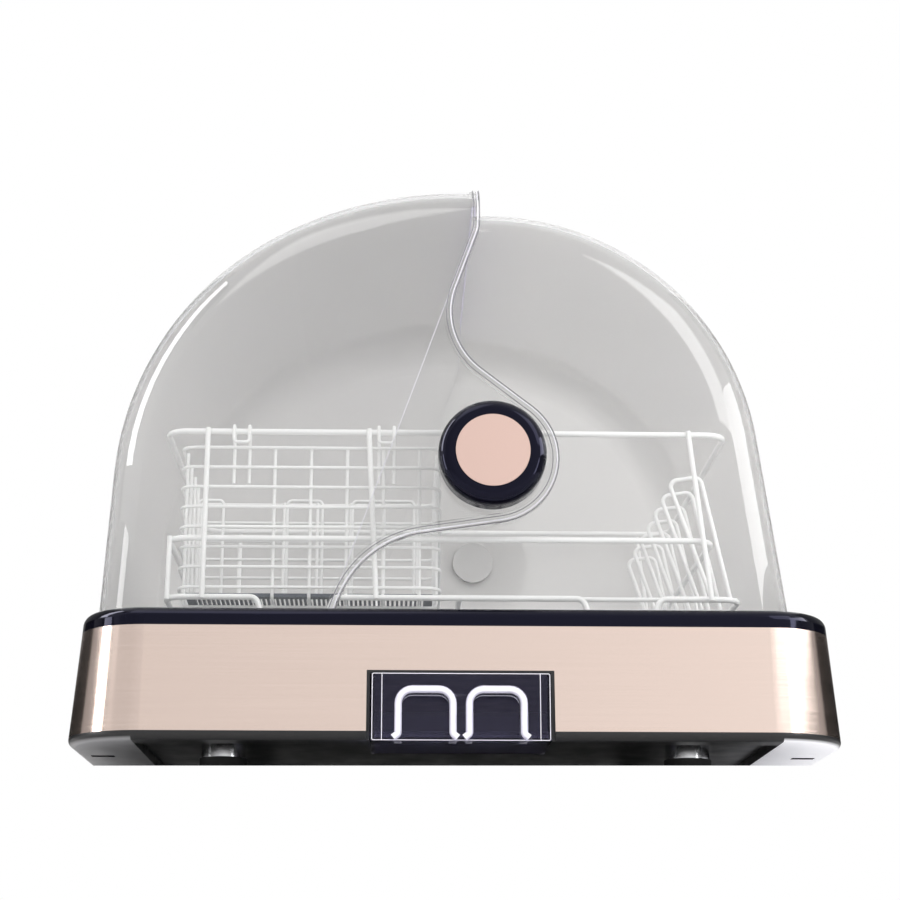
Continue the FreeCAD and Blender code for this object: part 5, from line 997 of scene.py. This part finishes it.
@dataclass
class DomeSeam:
    """Painted lines along the dome's edges: two of painted shade and one painted highlight along the lid's
    winding bead, one painted highlight along the shell.

    Every place is on the upright front plane, along x and z in mm, and every angle is in degrees from +x.

    Args:
        foot: where the sloping edge meets the basin.
        slope: angle of the sloping edge.
        hub: middle of the pivot.
        ring: how far the edge stays off the hub.
        under: angle of the edge as it goes under the hub.
        over: angle of the edge as it comes back over the hub.
        lip: where the upright edge stands.
        bends: bend at each of the four corners.
        crown: height of the lid's top.
        lid_face: from the middle plane to the lid's face.
        shell_crown: height of the fixed shell's top.
        shell_face: from the middle plane to the shell's face.
        round_edge: bend from the face to the top.
        overlap: how far the shell reaches under the lid.
        outer_line: how far the outer line stands inside the edge.
        inner_line: the same of the inner line.
        bright_line: the same of the bright line between them.
        sides: faces around a line.
        steps: corners put into each bend.
    """

    foot: Vector = field(default_factory=lambda: Vector((-77.9, 97.8)))
    slope: float = 70.4
    hub: Vector = field(default_factory=lambda: Vector((22.5, 200.5)))
    ring: float = 44.0
    under: float = 8.5
    over: float = 142.0
    lip: float = 15.5
    bends: tuple[float, float, float, float] = (66.0, 44.0, 50.0, 30.0)
    crown: float = 397.9
    lid_face: float = 161.4
    shell_crown: float = 380.6
    shell_face: float = 157.0
    round_edge: float = 36.0
    overlap: float = 4.0
    # outer_line: how far the outer painted shade line stands inside the edge.         inner_line: the same of the inner painted shade line.         bright_line: the same of the painted highlight line between them.
    outer_line: float = 0.3
    inner_line: float = 4.2
    bright_line: float = 4.2 / 2.6
    sides: int = 8
    steps: int = 20

    def corners(self, shift: float) -> list[tuple[Vector, float]]:
        """Finds the corners of the winding edge, or of a line beside it.

        Args:
            shift: how far the line stands to the left of the edge.

        Returns:
            Each corner and its bend, from the foot up.
        """

        def line(point: Vector, angle: float) -> tuple[Vector, float]:
            """Returns the line through a point at an angle, moved left."""
            return point + heading(angle + 90) * shift, angle

        sloping = line(self.foot, self.slope)
        below = line(self.hub + heading(self.under - 90) * self.ring, self.under)
        above = line(self.hub + heading(self.over - 90) * self.ring, self.over)
        upright = line(Vector((self.lip, 0.0)), 90)
        points = [crossing((self.foot, 0.0), sloping), crossing(sloping, below), crossing(below, above),
                  crossing(above, sloping), crossing(sloping, upright)]
        first, second, third, last = self.bends
        return list(zip(points, (0.0, first + shift, second - shift, third + shift, last - shift)))

    def run(self, corners: list[tuple[Vector, float]], face: float, crown: float) -> Polyline:
        """Draws a line up the front face and over the crown to the middle plane.

        Args:
            corners: each corner on the face and its bend.
            face: from the middle plane to the face.
            crown: height of the crown.

        Returns:
            The run.
        """
        line: Polyline = [(point.x, -face, point.y, bend) for point, bend in corners]
        x = corners[-1][0].x
        return line + [(x, -face, crown, self.round_edge), (x, 0.0, crown, 0.0)]

    def whole(self, corners: list[tuple[Vector, float]], face: float, crown: float) -> Polyline:
        """Returns the same line carried on down the rear face."""
        half = self.run(corners, face, crown)
        return half + mirrored(half)[-2::-1]

    def piece(self, name: str, body: str, line: Polyline, radius: float, finish: Finish,
              tree: WireTree) -> bpy.types.Object:
        """Builds one line and lets it ride on a body.

        Args:
            name: of the piece.
            body: that it rides on.
            line: its run.
            radius: in mm.
            finish: its look.
            tree: sweeps it.

        Returns:
            The piece.
        """
        coat = finish.material()
        wires = WireSet([line], radius, sides=self.sides, steps=self.steps)
        piece = joined(name, [wires.mesh(tree, coat)], coat)
        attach(piece, body)
        return piece

    def build(self, tree: WireTree) -> list[bpy.types.Object]:
        """Builds all the painted lines.

        Args:
            tree: sweeps them.

        Returns:
            The lid's two painted shade lines and its painted highlight line, and the shell's painted
            highlight line.
        """
        # two lines of painted shade and one painted highlight along the lid's bead
        # name, distance inside the edge, radius and finish
        bead = (("lid_bead_outer_painted_shade", self.outer_line, 0.35, SHADED_EDGE),
                ("lid_bead_inner_painted_shade", self.inner_line, 0.3, SHADED_EDGE),
                ("lid_bead_painted_highlight", self.bright_line, 0.42, BEAD_HIGHLIGHT))
        pieces = []
        for name, shift, radius, finish in bead:
            line = self.whole(self.corners(shift), self.lid_face, self.crown)
            pieces.append(self.piece(name, "lid", line, radius, finish, tree))
        foot, *_, head = self.corners(self.overlap)
        line = self.whole([foot, head], self.shell_face, self.shell_crown)
        return [*pieces, self.piece("shell_edge_painted_highlight", "base", line, 0.3, BEAD_HIGHLIGHT, tree)]


@dataclass
class DrawerEdges:
    """Painted highlights on the clear drawer: beads round its two finger recesses and its outline, lavender
    white with a painted glow, in mm.

    Args:
        middle: of the drawer along x.
        pitch: from one recess to the other.
        half_width: half the width of a recess.
        low: height of the bead's ends.
        knee: height at which the bead turns upright.
        high: height of its top.
        corner: bend of its top corners.
        foot_bend: bend at its ends and knees.
        flare: how far its ends spread.
        bead: its radius.
        bead_plane: its place along y.
        outline: radius of the outline.
        outline_plane: its place along y.
        outline_bend: bend of its corners.
        half_nose: half the drawer's width.
        nose: foot and head of the drawer's front.
        inner_line: from the middle to a wall's inner edge.
    """

    middle: float = 1.3
    pitch: float = 43.5
    half_width: float = 16.75
    low: float = 14.7
    knee: float = 17.1
    high: float = 44.25
    corner: float = 8.7
    foot_bend: float = 2.0
    flare: float = 3.0
    bead: float = 2.25
    bead_plane: float = -190.3
    outline: float = 0.26
    outline_plane: float = -190.9
    outline_bend: float = 1.0
    half_nose: float = 54.4
    nose: tuple[float, float] = (13.2, 53.9)
    inner_line: float = 48.5

    def arch(self) -> Polyline:
        """Draws the bead round the left recess, open at its foot.

        Returns:
            The run from its left end to its right one.
        """
        centre, y, bend = self.middle - self.pitch / 2, self.bead_plane, self.foot_bend
        half, foot = self.half_width, self.half_width + self.flare
        return [(centre - foot, y, self.low, bend), (centre - half, y, self.knee, bend),
                (centre - half, y, self.high, self.corner), (centre + half, y, self.high, self.corner),
                (centre + half, y, self.knee, bend), (centre + foot, y, self.low, bend)]

    def frame(self) -> Polyline:
        """Draws the outline of the drawer's front.

        Returns:
            The ring.
        """
        left, right, y = self.middle - self.half_nose, self.middle + self.half_nose, self.outline_plane
        low, high = self.nose
        bend = self.outline_bend
        return [(left, y, low, bend), (right, y, low, bend), (right, y, high, bend), (left, y, high, bend)]

    def upright(self) -> Polyline:
        """Returns the line of the left wall's inner edge."""
        x, y = self.middle - self.inner_line, self.outline_plane
        return [(x, y, self.nose[0], 0.0), (x, y, self.nose[1], 0.0)]

    def build(self, tree: WireTree) -> list[bpy.types.Object]:
        """Builds the painted highlights.

        Args:
            tree: sweeps them.

        Returns:
            Their one piece.
        """
        lit = LIT_EDGE.material()
        across = (self.pitch, 0.0, 0.0)
        sets = [
            WireSet([self.arch()], self.bead, count=2, step=across, sides=16),
            WireSet([self.frame()], self.outline, closed=True, sides=8),
            WireSet([self.upright()], self.outline, count=2, step=(2 * self.inner_line, 0.0, 0.0), sides=8),
        ]
        piece = joined("drawer_painted_highlights", [part.mesh(tree, lit) for part in sets], lit)
        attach(piece, "drawer")
        return [piece]


# ------------------------------------------------------------ studio


@dataclass(frozen=True)
class Card:
    """A flat reflector or flag beside the object that only gloss and mirrors see.

    Args:
        name: of the card.
        level: how bright it is, with 1 for paper white.
        x: its ends along x in m, or one place where it stands square to x.
        y: the same along y.
        z: its foot and head in m.
    """

    name: str
    level: float
    x: tuple[float, ...]
    y: tuple[float, ...]
    z: tuple[float, float]

    def corners(self) -> list[Vector]:
        """Places the card.

        Returns:
            Its four corners.
        """
        low, high = self.z
        start, end = (self.x[0], self.y[0]), (self.x[-1], self.y[-1])
        return [Vector((*start, low)), Vector((*end, low)), Vector((*end, high)), Vector((*start, high))]


CARDS = (
    # left wall, low: the bright strip in the band's left corner, with a dark edge on each side
    Card("left_low_front", 0.66, (-1.1,), (-3.2, -0.66), (-0.4, 0.42)),
    Card("left_low_edge", 0.2, (-1.1,), (-0.66, -0.56), (-0.4, 0.42)),
    Card("left_low_strip", 7.0, (-1.1,), (-0.56, -0.3), (-0.4, 0.42)),
    Card("left_low_shade", 0.15, (-1.1,), (-0.3, -0.2), (-0.4, 0.42)),
    Card("left_low_grey", 0.36, (-1.1,), (-0.2, 0.12), (-0.4, 0.42)),
    # left wall, high: the streaks along the lid's shoulder and the dark slash inside them
    Card("left_high_slash", 0.0, (-1.1,), (-0.75, -0.5), (1.3, 1.75)),
    Card("left_high_strip", 11.0, (-1.1,), (-0.34, -0.06), (0.5, 1.75)),
    # right wall, low: the strip in the band's right corner
    Card("right_low_strip", 7.0, (1.1,), (-1.35, -1.0), (-0.4, 0.42)),
    Card("right_low_edge", 0.15, (1.1,), (-1.0, -0.86), (-0.4, 0.42)),
    Card("right_low_grey", 0.36, (1.1,), (-0.86, 0.0), (-0.4, 0.42)),
    # right wall, high: the wide white band down the fixed shell's shoulder
    Card("right_high_strip", 8.0, (1.1,), (-0.95, -0.15), (0.43, 0.85)),
    # behind: what the outlines of the dome and the corners of the band mirror
    Card("left_flag", 0.02, (-1.1,), (0.12, 3.5), (-0.4, 0.42)),
    Card("left_high_flag", 0.2, (-1.1,), (0.0, 3.5), (0.42, 1.9)),
    Card("right_flag", 0.02, (1.1,), (0.0, 3.5), (-0.4, 0.42)),
    Card("right_high_flag", 0.2, (1.1,), (-0.05, 3.5), (0.42, 1.6)),
    Card("rear_left_flag", 0.2, (-2.6, -0.6), (3.5,), (0.0, 2.0)),
    Card("rear_right_flag", 0.2, (0.6, 2.6), (3.5,), (0.0, 1.7)),
)


# Behind the camera, and as wide as the room: what the band and the drawer's front mirror.
FRONT_CARD = Card("front_card", 1.0, (-4.0, 4.0), (-3.2,), (-0.6, 3.0))


@dataclass(frozen=True)
class Lamp:
    """A soft rectangular lamp that the camera doesn't see.

    Args:
        name: of the lamp.
        place: where it hangs, in m.
        aim: what it points at, in m.
        size: its width and height in m.
        power: in watts.
    """

    name: str
    place: tuple[float, float, float]
    aim: tuple[float, float, float]
    size: tuple[float, float]
    power: float

    def hang(self) -> None:
        """Puts the lamp in the scene."""
        light = bpy.data.lights.new(self.name, "AREA")
        light.shape = "RECTANGLE"
        light.size, light.size_y = self.size
        light.energy = self.power
        lamp = in_scene(self.name, light)
        lamp.location = self.place
        lamp.rotation_euler = (Vector(self.aim) - Vector(self.place)).to_track_quat("-Z", "Y").to_euler()
        lamp.visible_camera = False


LAMPS = (
    Lamp("key", (1.3, -1.5, 1.5), (0.0, 0.0, 0.15), (1.2, 1.2), 14.0),
    Lamp("fill", (-0.5, -1.0, 1.9), (0.0, 0.0, 0.3), (1.0, 1.0), 6.0),
)
WHITE = (1.0, 1.0, 1.0, 1.0)
TABLE_WHITE = "#F7F7F7"


@dataclass
class Studio:
    """White room, table, soft lamps and the camera.

    Args:
        yaw: how far the camera is turned to the right, in degrees.
        pitch: how far it looks up, in degrees.
        lens: its focal length in mm.
        sensor: width of its sensor in mm.
        clip: the nearest and farthest it sees, in m.
        camera_place: where it stands, in m.
        table_edge: from the camera to the table's edge along the view, in m.
        table_top: height of the table top, just under the feet, in m.
        reach: from the table's middle to its sides, in m.
        table_depth: height of the table's front edge in m.
        light_level: level of the room as light on the object, with 1 for white.
        card_span: left and right end of the front card's gradient, in m.
        card_levels: its levels there.
    """

    yaw: float = 1.652
    pitch: float = 16.0
    lens: float = 78.57
    sensor: float = 36.0
    clip: tuple[float, float] = (0.01, 50.0)
    camera_place: tuple[float, float, float] = (-0.040, -1.3815, -0.1462)
    table_edge: float = 1.210
    table_top: float = -0.0004
    reach: float = 4.0
    table_depth: float = 2.0
    light_level: float = 0.88
    card_span: tuple[float, float] = (-1.6, 0.9)
    card_levels: tuple[float, float] = (0.66, 1.0)

    def room(self) -> None:
        """Sets the world: white to sight, mirrors and glass, and dimmer as light on the object."""
        world = bpy.data.worlds.new("white_room")
        bpy.context.scene.world = world
        world.use_nodes = True
        tree = world.node_tree
        tree.nodes.clear()
        path = add_node(tree, "ShaderNodeLightPath").outputs
        seen = add_node(tree, "ShaderNodeMath", {0: path["Is Camera Ray"], 1: path["Is Glossy Ray"]},
                        operation="MAXIMUM")
        seen = add_node(tree, "ShaderNodeMath", {0: seen.outputs[0], 1: path["Is Transmission Ray"]},
                        operation="MAXIMUM")
        level = add_node(tree, "ShaderNodeMapRange", {0: seen.outputs[0], 3: self.light_level, 4: 1.0})
        back = add_node(tree, "ShaderNodeBackground", {"Color": WHITE, "Strength": level.outputs[0]})
        add_node(tree, "ShaderNodeOutputWorld", {0: back.outputs[0]})

    def plate(self, name: str, corners: list[Vector], material: bpy.types.Material) -> bpy.types.Object:
        """Makes a flat piece of the studio.

        Args:
            name: of the piece.
            corners: its four corners.
            material: its one material.

        Returns:
            The piece.
        """
        mesh = bpy.data.meshes.new(name)
        mesh.from_pydata([tuple(corner) for corner in corners], [], [(0, 1, 2, 3)])
        mesh.materials.append(material)
        piece = in_scene(name, mesh)
        return piece

    def floor_material(self) -> bpy.types.Material:
        """Makes a pale matt table top that isn't there when it is looked at from below.

        Returns:
            The material.
        """
        material = blank_material("pale_table_top")
        tree = material.node_tree
        top = add_node(tree, "ShaderNodeBsdfDiffuse", {"Color": linear(TABLE_WHITE)})
        under = add_node(tree, "ShaderNodeBsdfTransparent")
        below = add_node(tree, "ShaderNodeNewGeometry").outputs["Backfacing"]
        mix = add_node(tree, "ShaderNodeMixShader", {0: below, 1: top.outputs[0], 2: under.outputs[0]})
        add_node(tree, "ShaderNodeOutputMaterial", {0: mix.outputs[0]})
        return material

    def white_material(self) -> bpy.types.Material:
        """Makes the table's front edge, which the camera sees as pure white.

        Returns:
            The material.
        """
        material = blank_material("white_table_front")
        tree = material.node_tree
        plain = add_node(tree, "ShaderNodeBsdfDiffuse", {"Color": linear(TABLE_WHITE)})
        glow = add_node(tree, "ShaderNodeEmission", {"Color": WHITE, "Strength": 1.0})
        seen = add_node(tree, "ShaderNodeLightPath").outputs["Is Camera Ray"]
        mix = add_node(tree, "ShaderNodeMixShader", {0: seen, 1: plain.outputs[0], 2: glow.outputs[0]})
        add_node(tree, "ShaderNodeOutputMaterial", {0: mix.outputs[0]})
        return material

    def glow_material(self, level: float) -> bpy.types.Material:
        """Makes an even glow, or black felt at a level near 0.

        Args:
            level: how bright it is, with 1 for white.

        Returns:
            The material.
        """
        material = blank_material("card_at_%d_percent" % round(level * 100))
        tree = material.node_tree
        glow = add_node(tree, "ShaderNodeEmission", {"Color": WHITE, "Strength": level})
        add_node(tree, "ShaderNodeOutputMaterial", {0: glow.outputs[0]})
        return material

    def gradient_material(self) -> bpy.types.Material:
        """Makes the front card's glow, which grows from its left to its right.

        Returns:
            The material.
        """
        material = blank_material("front_card_gradient")
        tree = material.node_tree
        (left, right), (low, high) = self.card_span, self.card_levels
        place = add_node(tree, "ShaderNodeTexCoord").outputs["Object"]
        across = add_node(tree, "ShaderNodeSeparateXYZ", {0: place}).outputs["X"]
        level = add_node(tree, "ShaderNodeMapRange", {0: across, 1: left, 2: right, 3: low, 4: high})
        glow = add_node(tree, "ShaderNodeEmission", {"Color": WHITE, "Strength": level.outputs[0]})
        add_node(tree, "ShaderNodeOutputMaterial", {0: glow.outputs[0]})
        return material

    def table(self) -> None:
        """Lays the table top and its front edge, square to the view."""
        reach, top = self.reach, self.table_top
        square = [Vector((across * reach, along * reach, top))
                  for across, along in ((-1, -1), (1, -1), (1, 1), (-1, 1))]
        self.plate("table_top", square, self.floor_material())
        turn = Matrix.Rotation(-math.radians(self.yaw), 3, "Z")
        right, ahead = turn @ Vector((1, 0, 0)), turn @ Vector((0, 1, 0))
        middle = Vector(self.camera_place) + ahead * self.table_edge
        middle.z = top
        low = Vector((0, 0, -self.table_depth))
        corners = [middle - right * reach + low, middle + right * reach + low, middle + right * reach,
                   middle - right * reach]
        self.plate("table_front", corners, self.white_material())

    def cards(self) -> None:
        """Stands the cards around the object, and one behind the camera for the band."""
        pieces = [self.plate(card.name, card.corners(), self.glow_material(card.level)) for card in CARDS]
        pieces.append(self.plate(FRONT_CARD.name, FRONT_CARD.corners(), self.gradient_material()))
        for piece in pieces:
            piece.visible_camera = piece.visible_diffuse = piece.visible_transmission = False
            piece.visible_shadow = False

    def camera(self) -> None:
        """Sets the camera below the table top, looking up."""
        lens = bpy.data.cameras.new("camera")
        lens.lens = self.lens
        lens.sensor_width = self.sensor
        lens.clip_start, lens.clip_end = self.clip
        camera = in_scene("camera", lens)
        camera.location = self.camera_place
        camera.rotation_euler = (math.radians(90 + self.pitch), 0, -math.radians(self.yaw))
        bpy.context.scene.camera = camera

    def build(self) -> None:
        """Sets up the whole studio."""
        bpy.context.scene.view_settings.view_transform = "Standard"
        self.room()
        self.table()
        self.cards()
        for lamp in LAMPS:
            lamp.hang()
        self.camera()


@dataclass
class Casing:
    """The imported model's own nodes, each in the finish of its material slot or in one of its own.

    Args:
        own_finish: the finish of each node that doesn't take its slot's.
    """

    own_finish: dict[str, Finish] = field(default_factory=lambda: {
        "lid_shell": LID_CLEAR,
        "front_cap_disc": ROSE_DISC,
        "rear_cap_disc": ROSE_DISC,
        "base_tub": TUB_PLASTIC,
        "rear_pivot_pin": FROSTED_FITTING,
        "rear_pivot_washer": FROSTED_FITTING,
        "rear_pivot_screw": FROSTED_FITTING,
        "rear_pivot_bush": FROSTED_FITTING,
    })

    def dress(self) -> None:
        """Gives every node its finish."""
        for name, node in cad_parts.items():
            packed = node.material_slots[0].material.name
            finish = self.own_finish.get(name) or SLOT_FINISH[packed.split(".")[0]]
            for place in node.material_slots:
                place.material = finish.material()
            LOG.info("node %s: %s", name, finish.name)


def main() -> None:
    """Builds the scene and reports each piece."""
    logging.basicConfig(level=logging.INFO, format="%(name)s: %(message)s")
    Studio().build()
    Casing().dress()
    wires = WireTree()
    for assembly in (DishRack(), CutleryBasket(), DomeSeam(), DrawerEdges()):
        for piece in assembly.build(wires):
            LOG.info("piece %s: %d faces", piece.name, len(piece.data.polygons))


if __name__ == "__main__":
    main()
